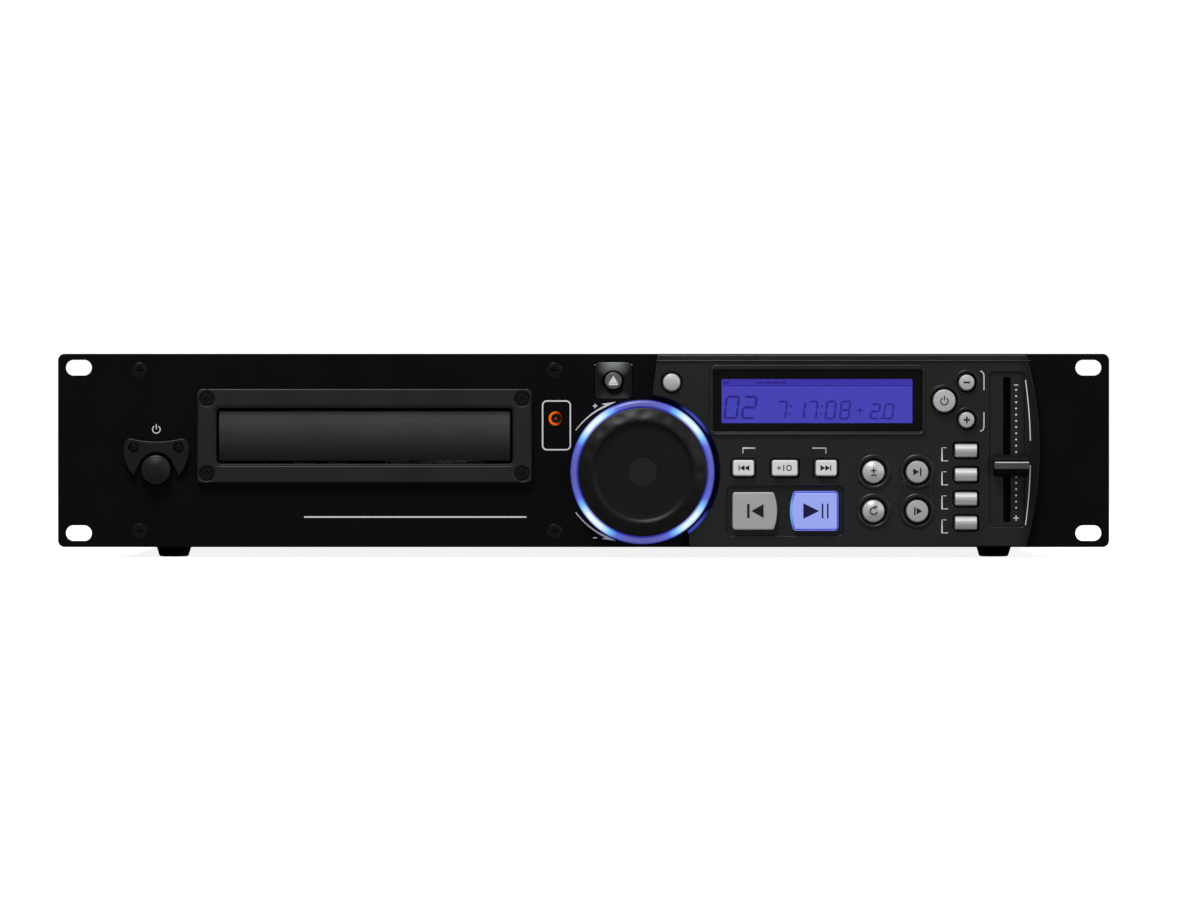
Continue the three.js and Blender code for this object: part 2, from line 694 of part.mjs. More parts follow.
function chassisPan() {
  const back = CASE_BACK - SHEET - SEAT_GAP;
  const floor = block([-PAN_HALF, PAN_HALF], [CASE_FRONT, back], [CASE_LIFT, PAN_FLOOR]);
  const side = (sign) => block(sign > 0 ? [PAN_HALF - SHEET, PAN_HALF] : [-PAN_HALF, SHEET - PAN_HALF],
    [CASE_FRONT, back], [CASE_LIFT, CASE_LIFT + PAN_FLANGE]);
  const lip = block([-PAN_HALF, PAN_HALF], [CASE_FRONT, CASE_FRONT + SHEET],
    [CASE_LIFT, CASE_LIFT + PAN_LIP]);
  const loaderStands = standX().flatMap((x) => standY().map((y) =>
    post(BOARD_STAND_RADIUS, CASE_LIFT, PAN_FLOOR + LOADER_STAND, x, y, SMALL_STEPS)));
  const stands = boardStands().map(([x, y]) =>
    post(BOARD_STAND_RADIUS, CASE_LIFT, PAN_FLOOR + BOARD_STAND, x, y, SMALL_STEPS));
  return mesh("chassis_pan", join(floor, side(1), side(-1), lip, loaderStands, stands), blackSheet);
}

function rearPanel() {
  const plate = block([-PAN_HALF, PAN_HALF], [CASE_BACK - SHEET, CASE_BACK],
    [CASE_LIFT, CASE_TOP - SHEET - SEAT_GAP]);
  const tab = (sign) => block(sign > 0 ? [PAN_HALF - 2 * SHEET - SEAT_GAP, PAN_HALF - SHEET - SEAT_GAP]
      : [SHEET + SEAT_GAP - PAN_HALF, 2 * SHEET + SEAT_GAP - PAN_HALF],
    [CASE_BACK - PAN_FLANGE, CASE_BACK - SHEET / 2],
    [CASE_LIFT + PAN_FLANGE + SEAT_GAP, CASE_TOP - PAN_FLANGE]);
  const through = (outline) => frontSlab(outline, CASE_BACK - PAN_FLANGE / 2, CASE_BACK + OVERRUN);
  const inlet = through(rounded(INLET_WIDTH + 2 * SEAT_GAP, INLET_HEIGHT + 2 * SEAT_GAP, INLET_CORNER,
    INLET_X, INLET_Z));
  const jacks = [0, 1, 2].map((k) => through(circle(JACK_RADIUS + SEAT_GAP, JACK_X + k * JACK_PITCH,
    JACK_Z,
    SMALL_STEPS)));
  const control = through(circle(CONTROL_JACK_RADIUS + SEAT_GAP, JACK_X + 3 * JACK_PITCH, JACK_Z,
    SMALL_STEPS));
  return mesh("rear_panel", cut(join(plate, tab(1), tab(-1)), inlet, jacks, control), blackSheet);
}

function topCover() {
  const half = CASE_WIDTH / 2;
  const outline = [
    [-half, CASE_LIFT], [SHEET - half, CASE_LIFT], [SHEET - half, CASE_TOP - SHEET],
    [half - SHEET, CASE_TOP - SHEET], [half - SHEET, CASE_LIFT], [half, CASE_LIFT],
    [half, CASE_TOP - SHEET], [half - SHEET, CASE_TOP], [SHEET - half, CASE_TOP],
    [-half, CASE_TOP - SHEET],
  ].map(([x, z]) => new THREE.Vector2(x, z));
  const shell = frontSlab(outline, CASE_FRONT, CASE_BACK);
  const vents = [];
  for (let row = -1; row <= 1; row += 2)
    for (let k = 0; k < VENTS_PER_ROW; k++) {
      const x = (row * half) / 2 + (k - (VENTS_PER_ROW - 1) / 2) * VENT_PITCH;
      vents.push(block(about(x, VENT_WIDTH),
        [CASE_BACK - VENT_MARGIN - VENT_LENGTH, CASE_BACK - VENT_MARGIN],
        [CASE_TOP - PAN_FLANGE, CASE_TOP + OVERRUN]));
    }
  for (let k = 0; k < SIDE_VENTS; k++) {
    const y = CASE_BACK - VENT_MARGIN - k * VENT_PITCH;
    vents.push(block([-half - OVERRUN, half + OVERRUN], about(y, VENT_WIDTH),
      about((CASE_LIFT + CASE_TOP) / 2, SIDE_VENT_LENGTH)));
  }
  return mesh("top_cover", cut(shell, vents), blackSheet);
}

function foot(name, x, y) {
  const top = CASE_LIFT - SEAT_GAP;
  const profile = [
    [0, FOOT_DROP / 2 - FOOT_DROP], [FOOT_SCREW_RADIUS, FOOT_DROP / 2 - FOOT_DROP],
    [FOOT_SCREW_RADIUS, -FOOT_DROP], [FOOT_BOTTOM_RADIUS - FOOT_EDGE, -FOOT_DROP],
    [FOOT_BOTTOM_RADIUS, FOOT_EDGE - FOOT_DROP], [FOOT_TOP_RADIUS, top], [0, top],
  ];
  return mesh(name, turnedZ(profile, x, y, SMALL_STEPS), rubber);
}

function feet() {
  const rows = { front: CASE_FRONT + FOOT_SETBACK, rear: CASE_BACK - FOOT_SETBACK };
  return Object.entries(rows).flatMap(([row, y]) =>
    [["left", -1], ["right", 1]].map(([side, sign]) => foot(`foot_${row}_${side}`, sign * FOOT_X, y)));
}

// Drawer bezel: a screwed-on frame with a sleeve that lines the panel's opening
function drawerBezel() {
  const face = -SEAT_GAP - BEZEL_RISE;
  const plate = (inset) => rounded(WINDOW_WIDTH + 2 * (BEZEL_MARGIN - inset),
    WINDOW_HEIGHT + 2 * (BEZEL_MARGIN - inset), BEZEL_CORNER - inset, DRAWER_X, DRAWER_Z);
  const window = (grow) => rounded(WINDOW_WIDTH + 2 * grow, WINDOW_HEIGHT + 2 * grow,
    WINDOW_CORNER + grow,
    DRAWER_X, DRAWER_Z);
  const body = frontLoft([
    { outline: plate(0), at: -SEAT_GAP },
    { outline: plate(0), at: face + BEZEL_CHAMFER },
    { outline: plate(BEZEL_CHAMFER), at: face },
  ]);
  const sleeve = frontSlab(window(BEZEL_SLEEVE - WINDOW_CORNER / 2), -SEAT_GAP - BEZEL_RISE / 2,
    PANEL_THICK);
  const flare = frontLoft([
    { outline: window(0), at: face + BEZEL_FLARE },
    { outline: window(2 * BEZEL_FLARE), at: face - BEZEL_FLARE },
  ]);
  const holes = [-1, 1].flatMap((sx) => [-1, 1].map((sz) => {
    const x = DRAWER_X + sx * (WINDOW_WIDTH / 2 + BEZEL_SCREW_INSET);
    const z = DRAWER_Z + sz * (WINDOW_HEIGHT / 2 + BEZEL_SCREW_INSET);
    return join(rod(SCREW_HEAD_RADIUS, face - OVERRUN, face + BEZEL_RISE / 2, x, z, SMALL_STEPS),
      rod(SCREW_SHANK_RADIUS, face - OVERRUN, OVERRUN, x, z, TINY_STEPS));
  }));
  const through = frontSlab(window(0), face - OVERRUN, PANEL_THICK + OVERRUN);
  return mesh("drawer_bezel", cut(join(body, sleeve), through, flare, holes), darkPlastic);
}

// Tray door: a softly crowned plate that closes the window
function trayDoor() {
  const door = (inset) => rounded(WINDOW_WIDTH - 2 * (DOOR_GAP_X + inset),
    WINDOW_HEIGHT - 2 * (DOOR_GAP_Z + inset),
    WINDOW_CORNER / 2, DRAWER_X, DRAWER_Z);
  const plate = frontLoft([
    { outline: door(0), at: DOOR_FRONT + DOOR_THICK },
    { outline: door(0), at: DOOR_FRONT + DOOR_CROWN },
    { outline: door(DOOR_CROWN), at: DOOR_FRONT },
  ]);
  return mesh("tray_door", plate, doorPlastic);
}

// Teeth: an involute gear's outline with a tooth's middle at the angle phase
function gearOutline(module, teeth, x, y, phase) {
  const pitch = (module * teeth) / 2;
  const base = pitch * Math.cos(PRESSURE_ANGLE);
  const root = pitch - DEDENDUM_SHARE * module;
  const tip = pitch + ADDENDUM_SHARE * module;
  const roll = (angle) => Math.tan(angle) - angle;
  const halfPitch = Math.PI / (2 * teeth) - BACKLASH / (2 * pitch);
  const halfAt = (radius) => halfPitch + roll(PRESSURE_ANGLE) - roll(Math.acos(Math.min(1,
    base / radius)));
  const flank = [root, tip];
  const points = [];
  for (let tooth = 0; tooth < teeth; tooth++) {
    const middle = phase + (2 * Math.PI * tooth) / teeth;
    for (const radius of flank)
      points.push([radius, middle - halfAt(radius)]);
    for (const radius of flank.toReversed())
      points.push([radius, middle + halfAt(radius)]);
  }
  return points.map(([radius, angle]) =>
    new THREE.Vector2(x + radius * Math.cos(angle), y + radius * Math.sin(angle)));
}

// The phase of a gear whose gap meets a tooth of its partner, seen from the partner at angle toward
function meshPhase(toward, partnerPhase, partnerTeeth, teeth) {
  const turns = ((toward - partnerPhase) / (2 * Math.PI)) * partnerTeeth;
  const share = turns - Math.floor(turns);
  return toward + Math.PI - ((0.5 - share) * 2 * Math.PI) / teeth;
}

// A rack along Y with its teeth pointing to side in X; a gap's middle lies at gapY
function rackOutline(module, pitchX, side, [y0, y1], gapY, back) {
  const pitch = Math.PI * module;
  const tip = pitchX + side * ADDENDUM_SHARE * module;
  const root = pitchX - side * DEDENDUM_SHARE * module;
  const slope = Math.tan(PRESSURE_ANGLE) * module;
  const halfTip = pitch / 4 - BACKLASH / 2 - slope * ADDENDUM_SHARE;
  const halfRoot = pitch / 4 - BACKLASH / 2 + slope * DEDENDUM_SHARE;
  const first = Math.ceil((y0 + halfRoot - gapY) / pitch - 0.5);
  const last = Math.floor((y1 - halfRoot - gapY) / pitch - 0.5);
  const points = [[root, y0]];
  for (let k = first; k <= last; k++) {
    const y = gapY + (k + 0.5) * pitch;
    points.push([root, y - halfRoot], [tip, y - halfTip], [tip, y + halfTip], [root, y + halfRoot]);
  }
  points.push([root, y1], [root - side * back, y1], [root - side * back, y0]);
  const outline = points.map(([x, y]) => new THREE.Vector2(x, y));
  return THREE.ShapeUtils.area(outline) < 0 ? outline.reverse() : outline;
}

// Disc tray: a plate with two disc recesses, a slot for spindle and laser, stiffening ribs and the rack
function discTray() {
  const back = TRAY_FRONT + TRAY_LENGTH;
  const middle = (TRAY_FRONT + back) / 2;
  const plate = topSlab(rounded(2 * TRAY_HALF, TRAY_LENGTH, WINDOW_CORNER, DRAWER_X, middle),
    TRAY_FLOOR, TRAY_Z);
  const recess = post(DISC_RADIUS + RECESS_GAP, TRAY_Z - RECESS_DEPTH, TRAY_Z + OVERRUN, DRAWER_X,
    DISC_Y, BIG_STEPS);
  const inner = post(SMALL_DISC_RADIUS + RECESS_GAP, TRAY_Z - RECESS_DEPTH - SMALL_RECESS_DEPTH,
    TRAY_Z + OVERRUN, DRAWER_X, DISC_Y, BIG_STEPS);
  const reach = PICKUP_START + PICKUP_TRAVEL + LENS_TURRET_RADIUS + PICKUP_SLOT_END;
  const slot = [
    ...arc(PICKUP_SLOT_HALF, DRAWER_X, DISC_Y, Math.PI, 2 * Math.PI, SMALL_STEPS / 2),
    new THREE.Vector2(DRAWER_X + PICKUP_SLOT_HALF, DISC_Y + reach),
    new THREE.Vector2(DRAWER_X - PICKUP_SLOT_HALF, DISC_Y + reach),
  ];
  const opening = topSlab(slot, TRAY_FLOOR - OVERRUN, TRAY_Z + OVERRUN);
  const skin = TRAY_FLOOR + SEAT_GAP;
  const ribAt = TRAY_HALF - TRAY_RIB_INSET - TRAY_RIB;
  const ribs = [-1, 1].map((side) => block(about(DRAWER_X + side * ribAt, TRAY_RIB),
    [TRAY_FRONT, back - TRAY_RIB_INSET], [TRAY_FLOOR - TRAY_RIB_DEPTH, skin]));
  const beam = block(about(DRAWER_X, 2 * (TRAY_HALF - TRAY_RIB_INSET)),
    [TRAY_FRONT, TRAY_FRONT + TRAY_BEAM],
    [TRAY_FLOOR - TRAY_BEAM_DEPTH, skin]);
  const rack = topSlab(rackOutline(TRAY_MODULE, DRAWER_X + RACK_PITCH_X, -1,
    [TRAY_FRONT + TRAY_BEAM / 2, back],
    DRIVE_Y, RACK_BACK), TRAY_FLOOR - RACK_DEPTH, skin);
  return mesh("disc_tray", join(cut(join(plate, ribs, beam), recess, inner, opening), rack),
    blackPlastic);
}

// Drive gear: its large wheel takes the pinion's turn, and its upper gear drives the rack
function driveGear() {
  const x = DRAWER_X + DRIVE_X;
  const wheel = topSlab(gearOutline(TRAIN_MODULE, WHEEL_TEETH, x, DRIVE_Y, 0), WHEEL_Z,
    WHEEL_Z + WHEEL_FACE);
  const upper = topSlab(gearOutline(TRAY_MODULE, TRAY_TEETH, x, DRIVE_Y, 0),
    RACK_GEAR_Z, RACK_GEAR_Z + RACK_GEAR_FACE);
  const hub = post(POST_RADIUS + RUN_GAP + HUB_WALL, PULLEY_Z, RACK_GEAR_Z + RACK_GEAR_FACE, x,
    DRIVE_Y);
  const bore = post(POST_RADIUS + RUN_GAP, DECK_Z - OVERRUN, RACK_GEAR_Z + RACK_GEAR_FACE + OVERRUN, x,
    DRIVE_Y);
  return mesh("drive_gear", cut(join(wheel, upper, hub), bore), whitePlastic);
}

// Pulley gear: the belt's large pulley with the pinion on top of it
function groovedPulley(radius, z, x, y, segments) {
  const rim = radius + PULLEY_RIM;
  const low = (PULLEY_FACE - BELT_WIDTH) / 2 - SEAT_GAP;
  const high = PULLEY_FACE - low;
  return turnedZ([[0, z], [rim, z], [rim, z + low - PULLEY_RIM / 2], [radius, z + low],
    [radius, z + high],
    [rim, z + high + PULLEY_RIM / 2], [rim, z + PULLEY_FACE], [0, z + PULLEY_FACE]], x, y, segments);
}

function pulleyGear() {
  const x = DRAWER_X + PULLEY_X;
  const phase = meshPhase(Math.PI, 0, WHEEL_TEETH, PINION_TEETH);
  const pinion = topSlab(gearOutline(TRAIN_MODULE, PINION_TEETH, x, DRIVE_Y, phase),
    PINION_Z - SEAT_GAP, WHEEL_Z + WHEEL_FACE + SEAT_GAP);
  const bore = post(POST_RADIUS + RUN_GAP, DECK_Z - OVERRUN, WHEEL_Z + WHEEL_FACE + OVERRUN, x,
    DRIVE_Y);
  const wheel = groovedPulley(PULLEY_RADIUS, PULLEY_Z, x, DRIVE_Y, BIG_STEPS / 2);
  return mesh("pulley_gear", cut(join(wheel, pinion), bore), whitePlastic);
}

function motorPulley() {
  const x = DRAWER_X + MOTOR_X;
  const bore = post(MOTOR_SHAFT_RADIUS + SEAT_GAP, PULLEY_Z - OVERRUN, PULLEY_Z + PULLEY_FACE + OVERRUN,
    x, DRIVE_Y, TINY_STEPS);
  return mesh("motor_pulley",
    cut(groovedPulley(MOTOR_PULLEY_RADIUS, PULLEY_Z, x, DRIVE_Y, SMALL_STEPS), bore), whitePlastic);
}

// Belt: a flat loop round both pulleys
function beltOutline(grow) {
  const small = MOTOR_PULLEY_RADIUS + grow;
  const large = PULLEY_RADIUS + grow;
  const lean = Math.acos((large - small) / (PULLEY_X - MOTOR_X));
  return [
    ...arc(large, DRAWER_X + PULLEY_X, DRIVE_Y, lean - Math.PI, Math.PI - lean, BIG_STEPS / 2),
    ...arc(small, DRAWER_X + MOTOR_X, DRIVE_Y, Math.PI - lean, Math.PI + lean, SMALL_STEPS / 2),
  ];
}

function loadingBelt() {
  const loop = topSlab(beltOutline(SEAT_GAP + BELT_THICK), BELT_Z, BELT_Z + BELT_WIDTH,
    [beltOutline(SEAT_GAP)]);
  return mesh("loading_belt", loop, rubber);
}

function loadingMotor() {
  const x = DRAWER_X + MOTOR_X;
  const top = DECK_Z - DECK_THICK - SEAT_GAP;
  const can = post(MOTOR_RADIUS, top - MOTOR_HEIGHT, top, x, DRIVE_Y);
  const boss = post(MOTOR_BOSS_RADIUS, top - SEAT_GAP, top + DECK_THICK / 2, x, DRIVE_Y, SMALL_STEPS);
  const shaft = post(MOTOR_SHAFT_RADIUS, top - SEAT_GAP, PULLEY_Z + PULLEY_FACE, x, DRIVE_Y,
    TINY_STEPS);
  return mesh("loading_motor", join(can, boss, shaft), steel);
}

// Loader frame: two walls with tray guides, the gear deck across the front and the pivot beam at the rear
function loaderChassis() {
  const parts = [];
  const inner = (side) => DRAWER_X + side * LOADER_INNER;
  const span = (a, b) => [Math.min(a, b), Math.max(a, b)];
  for (const side of [-1, 1]) {
    const outer = DRAWER_X + side * LOADER_OUTER;
    parts.push(block(span(inner(side), outer), [LOADER_FRONT, LOADER_BACK],
      [LOADER_FLOOR, LOADER_TOP]));
    const ledge = span(inner(side) - side * LEDGE, outer);
    const under = TRAY_FLOOR - RUN_GAP;
    parts.push(block(ledge, [LOADER_FRONT, LOADER_BACK], [under - LEDGE_THICK, under]));
    for (const y of [LOADER_FRONT, DISC_Y, LOADER_BACK - GUIDE_TAB_LENGTH])
      parts.push(block(ledge, [y, y + GUIDE_TAB_LENGTH],
        [TRAY_Z + RUN_GAP, TRAY_Z + RUN_GAP + LEDGE_THICK]));
    for (const y of standY())
      parts.push(block(span(inner(side), outer + side * LOADER_FOOT), about(y, LOADER_FOOT),
        [LOADER_FLOOR, LOADER_FLOOR + LOADER_FOOT_THICK]));
    const lugX = span(DRAWER_X + side * (TRAVERSE_HALF + SEAT_GAP),
      DRAWER_X + side * (TRAVERSE_HALF + SEAT_GAP + LUG));
    parts.push(block(lugX, [PIVOT_Y, LOADER_BACK], about(PIVOT_Z, 2 * LUG_RADIUS)));
    parts.push(post(LUG_RADIUS, lugX[0], lugX[1], 0, 0, SMALL_STEPS).rotate([0, 90, 0])
      .translate([0, PIVOT_Y, PIVOT_Z]));
  }
  const across = [inner(-1) - SEAT_GAP, inner(1) + SEAT_GAP];
  parts.push(block(across, [LOADER_FRONT, DECK_BACK], [DECK_Z - DECK_THICK, DECK_Z]));
  parts.push(block(across, [LOADER_BACK - REAR_BEAM, LOADER_BACK], about(PIVOT_Z, REAR_BEAM_HEIGHT)));
  parts.push(post(POST_RADIUS, DECK_Z - DECK_THICK / 2, RACK_GEAR_Z + RACK_GEAR_FACE,
    DRAWER_X + DRIVE_X, DRIVE_Y, SMALL_STEPS));
  parts.push(post(POST_RADIUS, DECK_Z - DECK_THICK / 2, WHEEL_Z + WHEEL_FACE + SEAT_GAP,
    DRAWER_X + PULLEY_X, DRIVE_Y, SMALL_STEPS));
  const pins = post(PIVOT_RADIUS + RUN_GAP, -TRAVERSE_HALF - LUG - OVERRUN,
    TRAVERSE_HALF + LUG + OVERRUN,
    0, 0, SMALL_STEPS)
    .rotate([0, 90, 0]).translate([DRAWER_X, PIVOT_Y, PIVOT_Z]);
  const motorHole = post(MOTOR_BOSS_RADIUS + SEAT_GAP, DECK_Z - DECK_THICK - OVERRUN, DECK_Z + SEAT_GAP,
    DRAWER_X + MOTOR_X, DRIVE_Y, SMALL_STEPS);
  return mesh("loader_chassis", cut(join(parts), pins, motorHole), greyPlastic);
}

// Clamp bridge and the puck that hangs in it above the disc's middle
function clampBridge() {
  const z = LOADER_TOP + SEAT_GAP;
  const plate = block(about(DRAWER_X, 2 * LOADER_OUTER), about(DISC_Y, BRIDGE_DEPTH),
    [z, z + BRIDGE_THICK]);
  const rims = [-1, 1].map((side) => block(about(DRAWER_X, 2 * (LOADER_OUTER - BRIDGE_EDGE)),
    about(DISC_Y + (side * (BRIDGE_DEPTH - BRIDGE_THICK)) / 2, BRIDGE_THICK), [z, z + BRIDGE_EDGE]));
  const hole = post(PUCK_RADIUS + RUN_GAP, z - OVERRUN, z + BRIDGE_EDGE, DRAWER_X, DISC_Y);
  return mesh("clamp_bridge", cut(join(plate, rims), hole), steel);
}

function clampPuck() {
  const shelf = LOADER_TOP + 2 * SEAT_GAP + BRIDGE_THICK;
  const bottom = PIVOT_Z + DISC_SEAT_RISE + PUCK_DISC_GAP;
  const profile = [[0, bottom + PUCK_HOLLOW_DEPTH], [PUCK_HOLLOW_RADIUS, bottom + PUCK_HOLLOW_DEPTH],
    [PUCK_HOLLOW_RADIUS, bottom], [PUCK_RADIUS, bottom], [PUCK_RADIUS, shelf],
    [PUCK_RADIUS + PUCK_FLANGE, shelf], [PUCK_RADIUS + PUCK_FLANGE, shelf + PUCK_FLANGE_THICK],
    [0, shelf + PUCK_FLANGE_THICK]];
  return mesh("clamp_puck", turnedZ(profile, DRAWER_X, DISC_Y), blackPlastic);
}

// Lift slider: its slanted slot raises the traverse's front pin as it moves across
function loweredPin() {
  const dy = DECK_BACK + SEAT_GAP + LIFT_THICK / 2 - PIVOT_Y;
  const dz = TRAVERSE_RISE + TRAVERSE_THICK / 2;
  return { low: PIVOT_Z + dy * Math.tan(LOWER_ANGLE) + dz / Math.cos(LOWER_ANGLE), high: PIVOT_Z + dz };
}

function liftSlider() {
  const { low, high } = loweredPin();
  const x = DRAWER_X + LIFT_PIN_X;
  const reach = LIFT_PIN_RADIUS + LIFT_SLOT_GAP;
  const margin = reach + LIFT_WALL;
  const y0 = DECK_BACK + SEAT_GAP;
  const slant = Math.atan2(high - low, -LIFT_TRAVEL);
  const slot = [
    ...arc(reach, x, low, slant + Math.PI / 2, slant + (3 * Math.PI) / 2, SMALL_STEPS / 2),
    ...arc(reach, x - LIFT_TRAVEL, high, slant - Math.PI / 2, slant + Math.PI / 2, SMALL_STEPS / 2),
  ];
  const outline = [[x - LIFT_TRAVEL - margin, low - margin], [x + margin, low - margin],
    [x + margin, low + margin],
    [x - LIFT_TRAVEL + margin, high + margin], [x - LIFT_TRAVEL - margin, high + margin],
  ].map(([px, pz]) => new THREE.Vector2(px, pz));
  const plate = frontSlab(outline, y0, y0 + LIFT_THICK, [slot]);
  const lip = block([x - LIFT_TRAVEL - margin, x - LIFT_TRAVEL], [y0 - LIFT_WALL, y0 + LIFT_THICK / 2],
    [DECK_Z + SEAT_GAP, DECK_Z + SEAT_GAP + LIFT_THICK]);
  return mesh("lift_slider", join(plate, lip), whitePlastic);
}

// Traverse, drawn level; the group it hangs in turns it down about its pivot
function traverseFrame() {
  const z0 = PIVOT_Z + TRAVERSE_RISE;
  const z1 = z0 + TRAVERSE_THICK;
  const back = LOADER_BACK - REAR_BEAM - TRAVERSE_REAR_WALL / 2;
  const outline = rounded(2 * TRAVERSE_HALF, back - TRAVERSE_FRONT, TRAVERSE_THICK, DRAWER_X,
    (TRAVERSE_FRONT + back) / 2);
  const bay = [PICKUP_HALF + RUN_GAP, ROD_X + ROD_RADIUS + ROD_SLEEVE_WALL + 2 * RUN_GAP];
  const bayFront = DISC_Y + PICKUP_START - PICKUP_LENGTH / 2 - RUN_GAP;
  const bayBack = bayFront + PICKUP_LENGTH + PICKUP_TRAVEL + 2 * RUN_GAP;
  const window = topSlab(rounded(bay[0] + bay[1], bayBack - bayFront, SEAT_GAP,
    DRAWER_X + (bay[1] - bay[0]) / 2,
    (bayFront + bayBack) / 2), z0 - TRAVERSE_RIB - OVERRUN, z1 + OVERRUN);
  const plate = topSlab(outline, z0, z1);
  const skirt = cut(topSlab(outline, z0 - TRAVERSE_RIB, z0 + SEAT_GAP),
    block(about(DRAWER_X, 2 * (TRAVERSE_HALF - TRAVERSE_THICK)),
      [TRAVERSE_FRONT + TRAVERSE_THICK, back - TRAVERSE_THICK], [z0 - TRAVERSE_RIB - OVERRUN, z0]));
  const motorHole = post(SPINDLE_BOSS_RADIUS + SEAT_GAP, z0 - OVERRUN, z1 + OVERRUN, DRAWER_X, DISC_Y);
  const rodX = DRAWER_X + ROD_X;
  const rodZ = PIVOT_Z + ROD_RISE;
  const saddles = [bayFront - ROD_POST, bayBack].map((y) =>
    block(about(rodX, ROD_POST), [y, y + ROD_POST], [z0, rodZ + ROD_RADIUS + ROD_SLEEVE_WALL]));
  const rodHole = rod(ROD_RADIUS + SEAT_GAP, bayFront - ROD_POST + ROD_SLEEVE_WALL,
    bayBack + ROD_POST - ROD_SLEEVE_WALL,
    rodX, rodZ, SMALL_STEPS);
  const gearPost = post(SLED_POST_RADIUS, z0 + SEAT_GAP, z1 + 2 * SEAT_GAP + SLED_RACK_FACE,
    DRAWER_X + SLED_RACK_X - SLED_PITCH_RADIUS, SLED_GEAR_Y, TINY_STEPS);
  const pins = [-1, 1].map((side) => post(PIVOT_RADIUS, -PIVOT_PIN, PIVOT_PIN / 2, 0, 0, SMALL_STEPS)
      .rotate([0, side > 0 ? -90 : 90, 0]).translate([DRAWER_X + side * TRAVERSE_HALF, PIVOT_Y,
        PIVOT_Z]));
  const earAt = TRAVERSE_HALF - TRAVERSE_THICK / 2;
  const ears = [-1, 1].map((side) => block(about(DRAWER_X + side * earAt, TRAVERSE_THICK),
    about(PIVOT_Y, 2 * LUG_RADIUS), [PIVOT_Z - PIVOT_RADIUS - TRAVERSE_THICK, z0 + SEAT_GAP]));
  const liftPin = rod(LIFT_PIN_RADIUS, TRAVERSE_FRONT - LIFT_PIN_LENGTH, TRAVERSE_FRONT + SEAT_GAP,
    DRAWER_X + LIFT_PIN_X, PIVOT_Z + TRAVERSE_RISE + TRAVERSE_THICK / 2, SMALL_STEPS);
  const body = cut(join(plate, skirt, ears, saddles), window, motorHole, rodHole);
  return mesh("traverse_frame", join(body, gearPost, pins, liftPin), blackPlastic);
}

function guideRod() {
  const bayFront = DISC_Y + PICKUP_START - PICKUP_LENGTH / 2 - RUN_GAP;
  const bayBack = bayFront + PICKUP_LENGTH + PICKUP_TRAVEL + 2 * RUN_GAP;
  const y0 = bayFront - ROD_POST + ROD_SLEEVE_WALL + SEAT_GAP;
  const y1 = bayBack + ROD_POST - ROD_SLEEVE_WALL - SEAT_GAP;
  return mesh("guide_rod", rod(ROD_RADIUS, y0, y1, DRAWER_X + ROD_X, PIVOT_Z + ROD_RISE, TINY_STEPS),
    steel);
}

function spindleMotor() {
  const top = PIVOT_Z + TRAVERSE_RISE - SEAT_GAP;
  const can = [[0, top - SPINDLE_MOTOR_HEIGHT], [SPINDLE_MOTOR_RADIUS, top - SPINDLE_MOTOR_HEIGHT],
    [SPINDLE_MOTOR_RADIUS, top], [SPINDLE_BOSS_RADIUS, top]];
  const boss = top + SPINDLE_BOSS_RISE;
  const shaft = PIVOT_Z + DISC_SEAT_RISE - SEAT_GAP;
  return mesh("spindle_motor",
    turnedZ([...can, [SPINDLE_BOSS_RADIUS, boss], [SPINDLE_SHAFT_RADIUS, boss],
      [SPINDLE_SHAFT_RADIUS, shaft], [0, shaft]], DRAWER_X, DISC_Y, SMALL_STEPS), steel);
}

function turntable() {
  const seat = PIVOT_Z + DISC_SEAT_RISE;
  const foot = PIVOT_Z + TRAVERSE_RISE + SPINDLE_BOSS_RISE + SEAT_GAP;
  const bore = SPINDLE_SHAFT_RADIUS + SEAT_GAP;
  const hub = bore + HUB_WALL;
  return mesh("turntable", turnedZ([[0, seat], [bore, seat], [bore, foot], [hub, foot],
    [hub, seat - TURNTABLE_THICK], [TURNTABLE_RADIUS, seat - TURNTABLE_THICK], [TURNTABLE_RADIUS, seat],
    [SPIGOT_RADIUS, seat], [SPIGOT_RADIUS - SPIGOT_TAPER / 2, seat + SPIGOT_RISE / 2],
    [SPIGOT_RADIUS - SPIGOT_TAPER, seat + SPIGOT_RISE], [0, seat + SPIGOT_RISE]], DRAWER_X, DISC_Y),
    blackPlastic);
}

